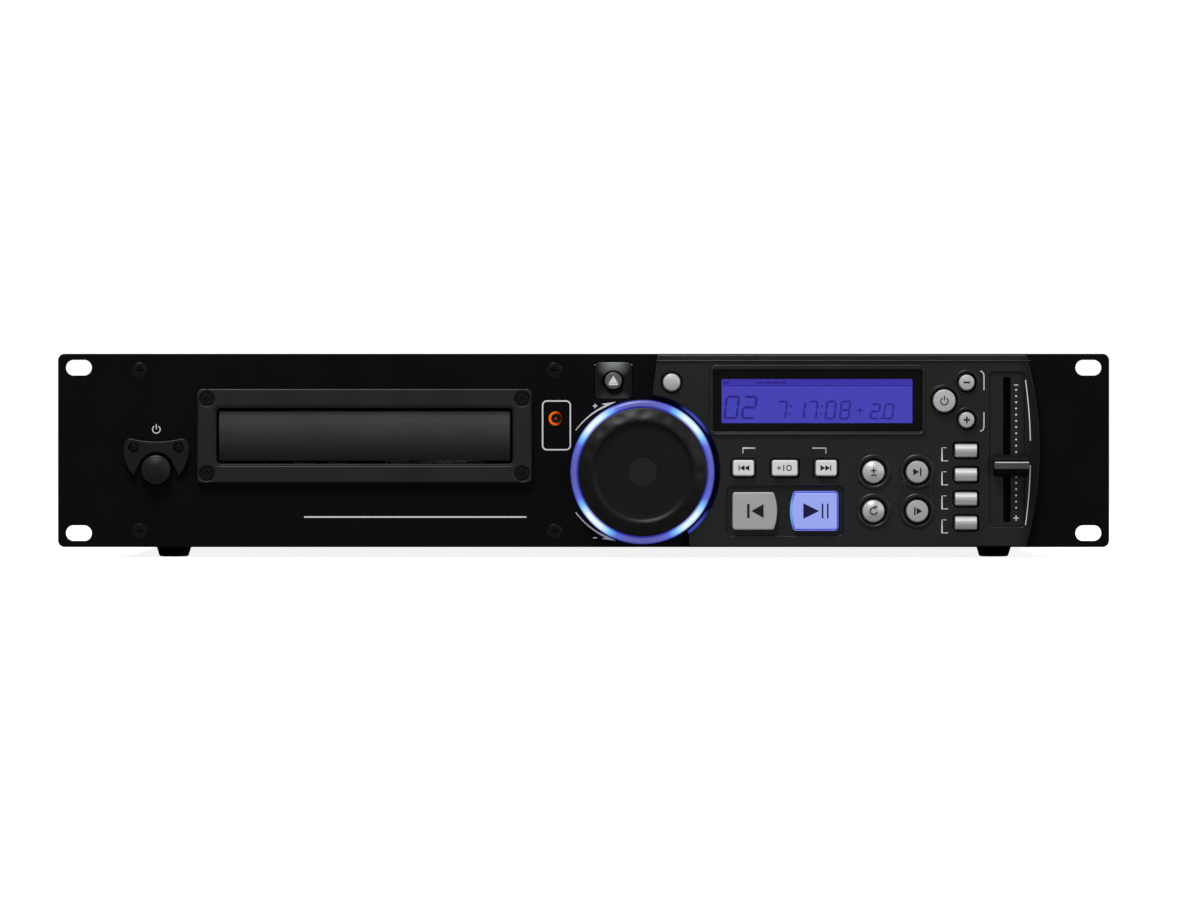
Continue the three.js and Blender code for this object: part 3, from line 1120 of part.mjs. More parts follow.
// Laser pickup: a carriage on the guide rod, with the lens turret, and a toothed arm for the sled gear
function laserPickup() {
  const y = DISC_Y + PICKUP_START;
  const top = PIVOT_Z + PICKUP_BODY_RISE;
  const armZ = PIVOT_Z + TRAVERSE_RISE + TRAVERSE_THICK + SEAT_GAP;
  const span = about(y, PICKUP_LENGTH);
  const body = block(about(DRAWER_X, 2 * PICKUP_HALF), span, [PIVOT_Z - PICKUP_BODY_DROP, top]);
  const lensTop = PIVOT_Z + DISC_SEAT_RISE - LENS_DISC_GAP;
  const turret = turnedZ([[0, top - SEAT_GAP], [LENS_TURRET_RADIUS, top - SEAT_GAP],
    [LENS_TURRET_RADIUS, lensTop],
    [LENS_RADIUS, lensTop], [LENS_RADIUS, lensTop - LENS_DEPTH], [0, lensTop - LENS_DEPTH]],
    DRAWER_X, y, SMALL_STEPS);
  const rodX = DRAWER_X + ROD_X;
  const rodZ = PIVOT_Z + ROD_RISE;
  const sleeve = rod(ROD_RADIUS + ROD_SLEEVE_WALL, ...span, rodX, rodZ, SMALL_STEPS);
  const link = block([DRAWER_X + PICKUP_HALF - SEAT_GAP, rodX], span,
    [rodZ - ROD_RADIUS, rodZ + ROD_RADIUS]);
  const bore = rod(ROD_RADIUS + RUN_GAP, y - PICKUP_LENGTH, y + PICKUP_LENGTH, rodX, rodZ, SMALL_STEPS);
  const arm = block([DRAWER_X + SLED_RACK_X, DRAWER_X - PICKUP_HALF + SEAT_GAP], span,
    [armZ, armZ + SLED_RACK_FACE]);
  const reach = [SLED_GEAR_Y - PICKUP_TRAVEL - SLED_RACK_SPARE, SLED_GEAR_Y + SLED_RACK_SPARE];
  const rack = topSlab(rackOutline(SLED_MODULE, DRAWER_X + SLED_RACK_X, -1, reach, SLED_GEAR_Y,
    SLED_RACK_BACK),
    armZ, armZ + SLED_RACK_FACE);
  const trimmed = cut(arm,
    block([DRAWER_X + SLED_RACK_X - OVERRUN, DRAWER_X + SLED_RACK_X + SLED_MODULE],
      [reach[0] - OVERRUN, reach[1] + OVERRUN], [armZ - OVERRUN, armZ + SLED_RACK_FACE + OVERRUN]));
  return mesh("laser_pickup", join(cut(join(body, turret, sleeve, link), bore), trimmed, rack),
    blackPlastic);
}

function sledGear() {
  const x = DRAWER_X + SLED_RACK_X - SLED_PITCH_RADIUS;
  const z = PIVOT_Z + TRAVERSE_RISE + TRAVERSE_THICK + SEAT_GAP;
  const gear = topSlab(gearOutline(SLED_MODULE, SLED_TEETH, x, SLED_GEAR_Y, 0), z, z + SLED_RACK_FACE);
  const bore = post(SLED_POST_RADIUS + SEAT_GAP, z - OVERRUN, z + SLED_RACK_FACE + OVERRUN, x,
    SLED_GEAR_Y, TINY_STEPS);
  return mesh("sled_gear", cut(gear, bore), whitePlastic);
}

// Power switch: a winged plate that wraps a domed push button
function powerEscutcheon() {
  const local = (x, z) => new THREE.Vector2(POWER_X + x, POWER_Z + z);
  const half = ESCUTCHEON_HALF;
  const top = ESCUTCHEON_TOP;
  const tip = local(ESCUTCHEON_TIP_X, -ESCUTCHEON_TIP_DROP);
  const shoulder = half - ESCUTCHEON_DIMPLE;
  const grip = Math.asin(ESCUTCHEON_DIMPLE / ESCUTCHEON_BORE);
  const bite = arc(ESCUTCHEON_BORE, POWER_X, POWER_Z, grip, Math.PI - grip, SMALL_STEPS);
  const path = new THREE.Shape();
  path.moveTo(tip.x, tip.y);
  path.quadraticCurveTo(POWER_X + half, POWER_Z + ESCUTCHEON_DIMPLE, POWER_X + half,
    POWER_Z + ESCUTCHEON_SCREW_Z);
  path.quadraticCurveTo(POWER_X + half, POWER_Z + top, POWER_X + shoulder, POWER_Z + top);
  path.quadraticCurveTo(POWER_X, POWER_Z + top - ESCUTCHEON_DIMPLE, POWER_X - shoulder, POWER_Z + top);
  path.quadraticCurveTo(POWER_X - half, POWER_Z + top, POWER_X - half, POWER_Z + ESCUTCHEON_SCREW_Z);
  path.quadraticCurveTo(POWER_X - half, POWER_Z + ESCUTCHEON_DIMPLE, POWER_X - ESCUTCHEON_TIP_X, tip.y);
  for (const point of bite.toReversed()) path.lineTo(point.x, point.y);
  const outline = path.getPoints(TINY_STEPS / 2);
  const plate = frontSlab(outline, -SEAT_GAP - ESCUTCHEON_RISE, -SEAT_GAP);
  const face = -SEAT_GAP - ESCUTCHEON_RISE;
  const dimples = [-1, 1].map((side) => turnedY([[0, face - OVERRUN],
    [ESCUTCHEON_DIMPLE, face - OVERRUN],
    [ESCUTCHEON_DIMPLE, face], [0, face + ESCUTCHEON_RISE / 2]],
    POWER_X + side * ESCUTCHEON_SCREW_X, POWER_Z + ESCUTCHEON_SCREW_Z, SMALL_STEPS));
  return mesh("power_escutcheon", cut(plate, dimples), darkPlastic);
}

// A round button: a domed cap, a flange that keeps it behind its well, and a stem to its switch
function roundButton({ name, x, z, radius, front, flangeY, travelStem, material, dome = BUTTON_EDGE }) {
  const flange = radius + BUTTON_FLANGE;
  const profile = [[0, front], [radius * Math.SQRT1_2, front + dome / 2],
    [radius, front + dome + BUTTON_EDGE],
    [radius, flangeY], [flange, flangeY], [STEM_RADIUS, flangeY + BUTTON_FLANGE_THICK],
    [STEM_RADIUS, travelStem], [0, travelStem]];
  return mesh(name, turnedY(profile, x, z, SMALL_STEPS), material);
}

// A flat key: its outline is lofted to a bevelled front, with the same flange and stem behind
function keyButton({ name, x, z, outline, front, material }) {
  const cap = frontLoft([
    { outline: outline(0), at: FASCIA_BACK + SEAT_GAP + BUTTON_FLANGE_THICK / 2 },
    { outline: outline(0), at: front + BUTTON_EDGE },
    { outline: outline(BUTTON_EDGE), at: front },
  ]);
  const flangeY = FASCIA_BACK + SEAT_GAP;
  const flange = frontSlab(outline(-BUTTON_FLANGE), flangeY, flangeY + BUTTON_FLANGE_THICK);
  const stem = rod(STEM_RADIUS, flangeY + BUTTON_FLANGE_THICK / 2,
    flangeY + BUTTON_FLANGE_THICK + STEM_LENGTH,
    x, z, TINY_STEPS);
  return mesh(name, join(cap, flange, stem), material);
}

function powerButton() {
  return roundButton({ name: "power_button", x: POWER_X, z: POWER_Z, radius: POWER_RADIUS,
    front: -POWER_PROUD, flangeY: PANEL_THICK + SEAT_GAP, dome: POWER_PROUD / 4,
    travelStem: CONTROL_BOARD_Y - SWITCH_DEPTH, material: darkPlastic });
}

// Eject button in a square dish that is let into the panel
function ejectDish() {
  const square = (size, corner) => rounded(size, size, corner, EJECT_X, EJECT_Z);
  const back = PANEL_THICK + SEAT_GAP;
  const body = frontLoft([
    { outline: square(DISH_SIZE, DISH_CORNER), at: back + DISH_FLANGE / 2 },
    { outline: square(DISH_SIZE, DISH_CORNER), at: -DISH_RISE / 2 },
    { outline: square(DISH_SIZE - DISH_RISE, DISH_CORNER), at: -DISH_RISE },
  ]);
  const flange = frontSlab(square(DISH_SIZE + 2 * DISH_FLANGE, DISH_CORNER), back, back + DISH_FLANGE);
  const hollow = DISH_SIZE - 2 * DISH_RIM;
  const bowl = frontLoft([
    { outline: square(2 * EJECT_WELL, EJECT_WELL - BUTTON_EDGE), at: DISH_DEPTH },
    { outline: square(hollow - DISH_DEPTH, EJECT_WELL - BUTTON_EDGE), at: DISH_DEPTH / 2 },
    { outline: square(hollow, DISH_CORNER), at: -DISH_RISE },
    { outline: square(hollow, DISH_CORNER), at: -OVERRUN },
  ]);
  const well = rod(EJECT_RADIUS + BUTTON_GAP, -OVERRUN, back + OVERRUN, EJECT_X, EJECT_Z);
  return mesh("eject_dish", cut(join(body, flange), bowl, well), darkPlastic);
}

function ejectButton() {
  return roundButton({ name: "eject_button", x: EJECT_X, z: EJECT_Z, radius: EJECT_RADIUS,
    front: -DISH_RISE, flangeY: PANEL_THICK + 2 * SEAT_GAP + DISH_FLANGE,
    travelStem: CONTROL_BOARD_Y - SWITCH_DEPTH - BUTTON_TRAVEL, material: darkPlastic });
}

function sensorLens() {
  const front = -SENSOR_RADIUS / 3;
  const profile = [[0, front], [SENSOR_RADIUS / 2, front + SEAT_GAP], [SENSOR_RADIUS, 0],
    [SENSOR_RADIUS, SENSOR_DEPTH], [0, SENSOR_DEPTH]];
  return mesh("remote_sensor_lens", turnedY(profile, SENSOR_X, SENSOR_Z, SMALL_STEPS), amber);
}

// Jog wheel: a dished disc with finger dimples in its sloping rim, turning in a lit ring
function jogLightRing() {
  const inner = RING_INNER - RING_COLLAR;
  const front = -SEAT_GAP - RING_RISE;
  const profile = [[RING_INNER, front + RING_ROUND], [RING_INNER + RING_ROUND, front],
    [RING_OUTER, front + 2 * RING_ROUND], [RING_OUTER, -SEAT_GAP],
    [inner, -SEAT_GAP], [inner, -SEAT_GAP - RING_COLLAR / 2], [RING_INNER, -SEAT_GAP - RING_COLLAR / 2],
    [RING_INNER, front + RING_ROUND]];
  return mesh("jog_light_ring", turnedY(profile, JOG_X, JOG_Z, BIG_STEPS), ringPlastic);
}

function jogWheel() {
  const crest = -WHEEL_RISE;
  const outer = RING_INNER - RUN_GAP;
  const skirtBack = -SEAT_GAP - RING_COLLAR / 2 - RUN_GAP;
  const bandEdge = crest + WHEEL_BAND_DROP;
  const floor = crest + DISH_FLOOR_DROP;
  const web = floor + WHEEL_WEB;
  const shaftEnd = CONTROL_BOARD_Y - SEAT_GAP;
  const profile = [[0, floor], [WHEEL_CREST - WHEEL_WEB, floor], [WHEEL_CREST, crest],
    [outer - RUN_GAP, bandEdge], [outer, bandEdge + RUN_GAP], [outer, skirtBack],
    [outer - WHEEL_WEB, skirtBack],
    [outer - WHEEL_WEB, web + WHEEL_WEB], [JOG_SHAFT_RADIUS, web],
    [JOG_SHAFT_RADIUS, shaftEnd], [0, shaftEnd]];
  const wheel = turnedY(profile, JOG_X, JOG_Z, BIG_STEPS);
  const reach = (WHEEL_CREST + outer) / 2;
  const dimples = Array.from({ length: DIMPLES }, (_, k) => {
    const angle = ((k + 0.5) * 2 * Math.PI) / DIMPLES;
    const ball = new THREE.SphereGeometry(DIMPLE_SPHERE, TINY_STEPS, TINY_STEPS / 2);
    const depth = (crest + bandEdge) / 2 + DIMPLE_DEPTH - DIMPLE_SPHERE;
    return solidOf(ball.translate(JOG_X + reach * Math.cos(angle), depth,
      JOG_Z + reach * Math.sin(angle)));
  });
  return mesh("jog_wheel", cut(wheel, dimples), blackPlastic);
}

// Control fascia: one moulding with a well for each button, ridges round the display and a fader recess
function fasciaOutline(inset) {
  const top = PANEL_HEIGHT - FASCIA_LIP_TOP - inset;
  const bottom = FASCIA_LIP_BOTTOM + inset;
  const wrap = FASCIA_WRAP + inset;
  const neckX = FASCIA_LEFT_NECK + inset;
  const from = Math.acos((neckX - JOG_X) / wrap);
  const to = -Math.acos((FASCIA_LEFT_FOOT + inset - JOG_X) / wrap);
  const right = FASCIA_RIGHT - inset;
  const half = (top - bottom) / 2;
  const bowRadius = (half * half) / (2 * FASCIA_RIGHT_BOW) + FASCIA_RIGHT_BOW / 2;
  const sweep = Math.asin(half / bowRadius);
  return [
    ...arc(wrap, JOG_X, JOG_Z, from, to, ROUND_STEPS),
    new THREE.Vector2(FASCIA_LEFT_FOOT + inset, bottom),
    ...arc(bowRadius, right + FASCIA_RIGHT_BOW - bowRadius, (top + bottom) / 2, -sweep, sweep,
      TINY_STEPS),
    new THREE.Vector2(FASCIA_LEFT_TOP + inset, top),
    new THREE.Vector2(neckX, FASCIA_NECK_Z),
  ];
}

const BUTTON_FRONT = FASCIA_FRONT - BUTTON_PROUD;

const roundButtons = [
  { name: "jog_mode_button", x: JOG_MODE_X, z: JOG_MODE_Z, radius: JOG_MODE_RADIUS },
  { name: "pitch_range_button", x: ROUND_LEFT_X, z: ROUND_HIGH_Z, radius: ROUND_RADIUS },
  { name: "loop_in_button", x: ROUND_RIGHT_X, z: ROUND_HIGH_Z, radius: ROUND_RADIUS },
  { name: "reloop_button", x: ROUND_LEFT_X, z: ROUND_LOW_Z, radius: ROUND_RADIUS },
  { name: "loop_out_button", x: ROUND_RIGHT_X, z: ROUND_LOW_Z, radius: ROUND_RADIUS },
  { name: "pitch_on_button", x: PITCH_ON_X, z: PITCH_ON_Z, radius: PITCH_ON_RADIUS },
  { name: "bend_down_button", x: BEND_X, z: BEND_HIGH_Z, radius: BEND_RADIUS },
  { name: "bend_up_button", x: BEND_X, z: BEND_LOW_Z, radius: BEND_RADIUS },
];

function keyOutline(x, z, width, height) {
  return (inset) => rounded(width - 2 * inset, height - 2 * inset,
    Math.max(KEY_CORNER - inset, KEY_CORNER_LEAST),
    x, z, 1);
}

// An outline turned over about the upright line at x
function mirrored(outline, x) {
  return outline.map((point) => new THREE.Vector2(2 * x - point.x, point.y)).reverse();
}

// The cue and play keys bow out towards each other: side is the bowed one
function bowedOutline(x, z, width, side) {
  return (inset) => {
    const corner = CUE_CORNER - inset;
    const halfWidth = width / 2 - inset;
    const chord = CUE_HEIGHT / 2 - inset - corner;
    const bowRadius = (chord * chord) / (2 * CUE_BOW) + CUE_BOW / 2;
    const sweep = Math.asin(chord / bowRadius);
    const straight = x - halfWidth + corner;
    const bowed = x + halfWidth - CUE_BOW - corner;
    const turn = Math.PI / 2;
    const outline = [
      ...arc(corner, straight, z - chord, 2 * turn, 3 * turn, 2),
      ...arc(corner, bowed, z - chord, 3 * turn, 4 * turn - sweep, 2).slice(0, -1),
      ...arc(bowRadius, x + halfWidth - bowRadius, z, -sweep, sweep, SMALL_STEPS / 2),
      ...arc(corner, bowed, z + chord, sweep, turn, 2).slice(1),
      ...arc(corner, straight, z + chord, turn, 2 * turn, 2),
    ];
    return side > 0 ? outline : mirrored(outline, x);
  };
}

const keyButtons = [
  { name: "track_back_button", x: SEARCH_X, z: SEARCH_Z, width: SEARCH_WIDTH, height: SEARCH_HEIGHT },
  { name: "plus_ten_button", x: SEARCH_X + SEARCH_PITCH, z: SEARCH_Z, width: SEARCH_MIDDLE_WIDTH,
    height: SEARCH_HEIGHT },
  { name: "track_forward_button", x: SEARCH_X + 2 * SEARCH_PITCH, z: SEARCH_Z, width: SEARCH_WIDTH,
    height: SEARCH_HEIGHT },
  ...["repeat_button", "program_button", "single_button", "time_button"].map((name, k) => (
    { name, x: BAR_X, z: BAR_LOW_Z + k * BAR_PITCH, width: BAR_WIDTH, height: BAR_HEIGHT })),
].map((key) => ({ ...key, outline: keyOutline(key.x, key.z, key.width, key.height) }));

const cueKeys = [
  { name: "cue_button", x: CUE_X, z: CUE_Z, outline: bowedOutline(CUE_X, CUE_Z, CUE_WIDTH, 1),
    material: silverPlastic },
  { name: "play_button", x: PLAY_X, z: CUE_Z, outline: bowedOutline(PLAY_X, CUE_Z, PLAY_WIDTH, -1),
    material: litPlastic },
];

function controlFascia() {
  const body = frontLoft([
    { outline: fasciaOutline(0), at: FASCIA_BACK },
    { outline: fasciaOutline(0), at: FASCIA_FRONT + FASCIA_CHAMFER },
    { outline: fasciaOutline(FASCIA_CHAMFER), at: FASCIA_FRONT },
  ]);
  const frame = (grow, corner) => rounded(DISPLAY_WIDTH + 2 * grow, DISPLAY_HEIGHT + 2 * grow, corner,
    DISPLAY_X, DISPLAY_Z);
  const ridge = frontSlab(frame(RIDGE_OFFSET + RIDGE_WIDTH, DISPLAY_CORNER + RIDGE_OFFSET),
    FASCIA_FRONT - RIDGE_RISE, FASCIA_FRONT + SEAT_GAP, [frame(RIDGE_OFFSET, DISPLAY_CORNER)]);
  const glassBack = FASCIA_FRONT + DISPLAY_SET + DISPLAY_GLASS + SEAT_GAP;
  const rebate = frontSlab(frame(SEAT_GAP, DISPLAY_CORNER), FASCIA_FRONT - OVERRUN, glassBack);
  const ledge = frontSlab(frame(-DISPLAY_LEDGE, DISPLAY_CORNER), glassBack - SEAT_GAP, OVERRUN);
  const rims = roundButtons.filter(({ radius }) => radius > JOG_MODE_RADIUS).map(({ x, z, radius }) =>
    turnedY([[0, FASCIA_FRONT - RIM_RISE],
      [radius + WELL_WIDTH + RIM_WIDTH / 2, FASCIA_FRONT - RIM_RISE],
      [radius + WELL_WIDTH + RIM_WIDTH, FASCIA_FRONT], [0, FASCIA_FRONT + SEAT_GAP]], x, z));
  const wells = roundButtons.map(({ x, z, radius }) => turnedY([[0, FASCIA_FRONT - OVERRUN],
    [radius + WELL_WIDTH, FASCIA_FRONT - OVERRUN], [radius + WELL_WIDTH, FASCIA_FRONT],
    [radius + BUTTON_GAP, FASCIA_FRONT + WELL_DEPTH], [radius + BUTTON_GAP, OVERRUN], [0, OVERRUN]], x,
    z));
  const padWidth = PLAY_X - CUE_X + (CUE_WIDTH + PLAY_WIDTH) / 2 + 2 * CUE_PAD_MARGIN;
  const padX = (CUE_X - CUE_WIDTH / 2 + PLAY_X + PLAY_WIDTH / 2) / 2;
  const pad = frontSlab(rounded(padWidth, CUE_HEIGHT + 2 * CUE_PAD_MARGIN, CUE_PAD_MARGIN, padX, CUE_Z),
    FASCIA_FRONT - OVERRUN, FASCIA_FRONT + CUE_PAD_DEPTH);
  const keyWells = [...keyButtons, ...cueKeys].map(({ outline }) =>
    frontSlab(outline(-BUTTON_GAP), FASCIA_FRONT - OVERRUN, OVERRUN));
  const faderPlate = frontSlab(rounded(FADER_PLATE_WIDTH, FADER_PLATE_HEIGHT,
    DISPLAY_CORNER + KEY_CORNER,
    FADER_X, FADER_Z), FASCIA_FRONT - OVERRUN, FASCIA_FRONT + FADER_PLATE_DEPTH);
  const faderSlot = frontSlab(rounded(FADER_SLOT_WIDTH, FADER_TRAVEL + FADER_STEM_HEIGHT + 2 * RUN_GAP,
    KEY_CORNER, FADER_X, FADER_Z), FASCIA_FRONT - OVERRUN, OVERRUN);
  return mesh("control_fascia",
    cut(join(body, ridge, rims), rebate, ledge, wells, pad, keyWells, faderPlate,
      faderSlot), fasciaPlastic);
}

// Display: a clear window in the fascia's rebate, and the display module behind the ledge
function displayWindow() {
  const front = FASCIA_FRONT + DISPLAY_SET;
  const outline = (inset) => rounded(DISPLAY_WIDTH - 2 * inset, DISPLAY_HEIGHT - 2 * inset,
    DISPLAY_CORNER,
    DISPLAY_X, DISPLAY_Z);
  return mesh("display_window", frontLoft([
    { outline: outline(0), at: front + DISPLAY_GLASS },
    { outline: outline(0), at: front + SEAT_GAP },
    { outline: outline(SEAT_GAP), at: front },
  ]), acrylic);
}

function lcdModule() {
  const front = FASCIA_BACK + SEAT_GAP;
  const outline = rounded(DISPLAY_WIDTH, DISPLAY_HEIGHT, DISPLAY_CORNER, DISPLAY_X, DISPLAY_Z);
  const lit = rounded(LCD_LIT_WIDTH, LCD_LIT_HEIGHT, DISPLAY_CORNER, DISPLAY_X, DISPLAY_Z);
  const body = frontSlab(outline, front, front + LCD_DEPTH);
  const dip = frontSlab(lit, front - OVERRUN, front + LCD_FRAME_STEP);
  const legs = [-1, 1].flatMap((sx) => [-1,
    1].map((sz) => rod(STEM_RADIUS, front + LCD_DEPTH - SEAT_GAP,
      CONTROL_BOARD_Y - SEAT_GAP, DISPLAY_X + (sx * LCD_LIT_WIDTH) / 2,
      DISPLAY_Z + (sz * LCD_LIT_HEIGHT) / 2,
      TINY_STEPS)));
  return mesh("lcd_module", join(cut(body, dip), legs), lcdBlue);
}

// Pitch fader: a slide potentiometer behind the fascia, and the cap that runs in its slot
function faderBody() {
  const front = FASCIA_BACK + SEAT_GAP;
  const length = FADER_TRAVEL + FADER_STEM_HEIGHT + 2 * FADER_END;
  const body = block(about(FADER_X, FADER_BODY_WIDTH), [front, front + FADER_BODY_DEPTH],
    about(FADER_Z, length));
  const slot = block(about(FADER_X, FADER_SLOT_WIDTH),
    [front - OVERRUN, front + FADER_BODY_DEPTH - FADER_BODY_SKIN],
    about(FADER_Z, FADER_TRAVEL + FADER_STEM_HEIGHT + 2 * RUN_GAP));
  const pins = [-1, 1].map((side) => rod(SWITCH_PLUNGER, front + FADER_BODY_DEPTH - SEAT_GAP,
    CONTROL_BOARD_Y - SEAT_GAP, FADER_X, FADER_Z + side * (length / 2 - FADER_END), TINY_STEPS));
  return mesh("fader_body", join(cut(body, slot), pins), steel);
}

function faderKnob() {
  const z = FADER_Z + FADER_REST;
  const back = FASCIA_FRONT - FADER_CAP_GAP;
  const front = back - FADER_CAP_THICK;
  const x = FADER_X + FADER_CAP_SHIFT;
  const cap = (height, inset, shift = 0) =>
    rounded(FADER_CAP_WIDTH - 2 * inset, height, KEY_CORNER, x, z + shift, CORNER_STEPS);
  const body = frontLoft([
    { outline: cap(FADER_CAP_HEIGHT, 0), at: back },
    { outline: cap(FADER_CAP_HEIGHT, 0), at: back - FADER_CAP_THICK / 3 },
    { outline: cap(FADER_CAP_HEIGHT - 2 * FADER_CAP_TAPER, BUTTON_EDGE), at: front },
  ]);
  const finSide = cap(FADER_FIN_HEIGHT, BUTTON_EDGE, FADER_FIN_SHIFT);
  const finTip = cap(FADER_FIN_HEIGHT - BUTTON_EDGE, 2 * BUTTON_EDGE, FADER_FIN_SHIFT);
  const fin = frontLoft([
    { outline: finSide, at: back - FADER_CAP_THICK / 2 },
    { outline: finSide, at: front - FADER_FIN_RISE + BUTTON_EDGE },
    { outline: finTip, at: front - FADER_FIN_RISE },
  ]);
  const stem = block(about(FADER_X, FADER_STEM_THICK),
    [back - FADER_STEM_ROOT, FASCIA_BACK + SEAT_GAP + FADER_BODY_DEPTH - FADER_BODY_SKIN - RUN_GAP],
    about(z, FADER_STEM_HEIGHT));
  return mesh("fader_knob", join(body, fin, stem), blackPlastic);
}

// Boards: the control board with a switch behind each button, and the main board with its parts
function controlBoard() {
  const y = CONTROL_BOARD_Y;
  const width = CONTROL_BOARD_RIGHT - CONTROL_BOARD_LEFT;
  const board = frontSlab(rounded(width, PANEL_HEIGHT - 2 * CONTROL_BOARD_MARGIN, CUE_CORNER,
    CONTROL_BOARD_LEFT + width / 2, PANEL_MIDDLE), y, y + BOARD_THICK);
  const stemEnd = FASCIA_BACK + SEAT_GAP + BUTTON_FLANGE_THICK + STEM_LENGTH;
  const places = [...roundButtons, ...keyButtons, ...cueKeys];
  const switches = places.flatMap(({ x, z }) => [
    block(about(x, SWITCH_SIZE), [y - SWITCH_DEPTH, y + SEAT_GAP], about(z, SWITCH_SIZE)),
    block(about(x, 2 * SWITCH_PLUNGER), [stemEnd + BUTTON_TRAVEL + SEAT_GAP, y],
      about(z, 2 * SWITCH_PLUNGER)),
  ]);
  const ejectEnd = CONTROL_BOARD_Y - SWITCH_DEPTH + SEAT_GAP;
  const ejectSwitch = block(about(EJECT_X, SWITCH_SIZE), [ejectEnd, y + SEAT_GAP],
    about(EJECT_Z, SWITCH_SIZE));
  const encoder = rod(ENCODER_RADIUS, y - ENCODER_DEPTH, y + BOARD_THICK + SEAT_GAP, JOG_X, JOG_Z,
    SMALL_STEPS);
  const shaftHole = rod(JOG_SHAFT_RADIUS + RUN_GAP, y - ENCODER_DEPTH - OVERRUN,
    y + BOARD_THICK + OVERRUN,
    JOG_X, JOG_Z, SMALL_STEPS);
  const sensor = block(about(SENSOR_X, 2 * SENSOR_RADIUS), [SENSOR_DEPTH + SEAT_GAP, y + SEAT_GAP],
    about(SENSOR_Z, 2 * SENSOR_RADIUS));
  return mesh("control_board", cut(join(board, switches, ejectSwitch, encoder, sensor), shaftHole),
    greenBoard);
}

function mainBoard() {
  const z = PAN_FLOOR + BOARD_STAND + SEAT_GAP;
  const back = CASE_BACK - MAIN_BOARD_REAR_GAP;
  const top = z + BOARD_THICK;
  const width = MAIN_BOARD_RIGHT - MAIN_BOARD_LEFT;
  const depth = back - MAIN_BOARD_FRONT;
  const board = block([MAIN_BOARD_LEFT, MAIN_BOARD_RIGHT], [MAIN_BOARD_FRONT, back], [z, top]);
  const sinkX = MAIN_BOARD_LEFT + width / 4;
  const sinkY = MAIN_BOARD_FRONT + depth / 3;
  const low = top - SEAT_GAP;
  const capacitors = upTo(CAPACITORS).map((k) => post(CAPACITOR_RADIUS, low, top + CAPACITOR_HEIGHT,
    MAIN_BOARD_LEFT + ((k + 1) * width) / 8, back - depth / 4, SMALL_STEPS));
  const fins = upTo(SINK_FINS).map((k) => block(about(sinkX + (k - (SINK_FINS - 1) / 2) * SINK_PITCH,
    SINK_FIN_THICK), about(sinkY, SINK_DEPTH), [low, top + SINK_HEIGHT]));
  const sinkBase = block(about(sinkX, SINK_FINS * SINK_PITCH), about(sinkY, SINK_DEPTH),
    [low, top + SINK_BASE_THICK]);
  const chips = upTo(CHIPS).map((k) => block(about(MAIN_BOARD_RIGHT - ((k + 1) * width) / 4, CHIP_SIZE),
    about(MAIN_BOARD_FRONT + depth / 2, CHIP_SIZE), [low, top + CHIP_THICK]));
  return mesh("main_board", join(board, capacitors, fins, sinkBase, chips), greenBoard);
}

function mainsTransformer() {
  const y1 = CASE_BACK - TRANSFORMER_REAR_GAP;
  const y = y1 - TRANSFORMER_DEPTH / 2;
  const z0 = PAN_FLOOR + SEAT_GAP;
  const core = block(about(TRANSFORMER_X, TRANSFORMER_WIDTH), about(y, TRANSFORMER_DEPTH / 2),
    [z0, z0 + TRANSFORMER_HEIGHT]);
  const coil = topLoft([
    { outline: rounded(TRANSFORMER_WIDTH - 2 * TRANSFORMER_COIL, TRANSFORMER_DEPTH, TRANSFORMER_COIL,
      TRANSFORMER_X, y),
      at: z0 + TRANSFORMER_COIL },
    { outline: rounded(TRANSFORMER_WIDTH - 2 * TRANSFORMER_COIL, TRANSFORMER_DEPTH, TRANSFORMER_COIL,
      TRANSFORMER_X, y),
      at: z0 + TRANSFORMER_HEIGHT - TRANSFORMER_COIL },
  ]);
  const foot = block(about(TRANSFORMER_X, TRANSFORMER_WIDTH + 2 * TRANSFORMER_FOOT),
    about(y, TRANSFORMER_FOOT), [z0, z0 + BOARD_THICK]);
  return mesh("mains_transformer", join(core, coil, foot), steel);
}

// Rear connectors
function mainsInlet() {
  const face = CASE_BACK + SEAT_GAP + INLET_FLANGE_THICK;
  const outline = (grow) => rounded(INLET_WIDTH + 2 * grow, INLET_HEIGHT + 2 * grow, INLET_CORNER,
    INLET_X, INLET_Z);
  const body = frontSlab(outline(0), face - INLET_DEPTH, face);
  const flange = frontSlab(outline(INLET_FLANGE), CASE_BACK + SEAT_GAP, face);
  const cavity = frontSlab(outline(-INLET_WALL), face - INLET_DEPTH + INLET_WALL, face + OVERRUN);
  const pins = [-1, 0, 1].map((k) => block(about(INLET_X + k * INLET_PIN_SPREAD, INLET_PIN),
    [face - INLET_DEPTH + INLET_WALL - SEAT_GAP, face - INLET_DEPTH + INLET_PIN_LENGTH],
    about(INLET_Z + (k === 0 ? INLET_EARTH_RISE : -INLET_EARTH_RISE), INLET_PIN_HEIGHT)));
  return mesh("mains_inlet", join(cut(join(body, flange), cavity), pins), blackPlastic);
}

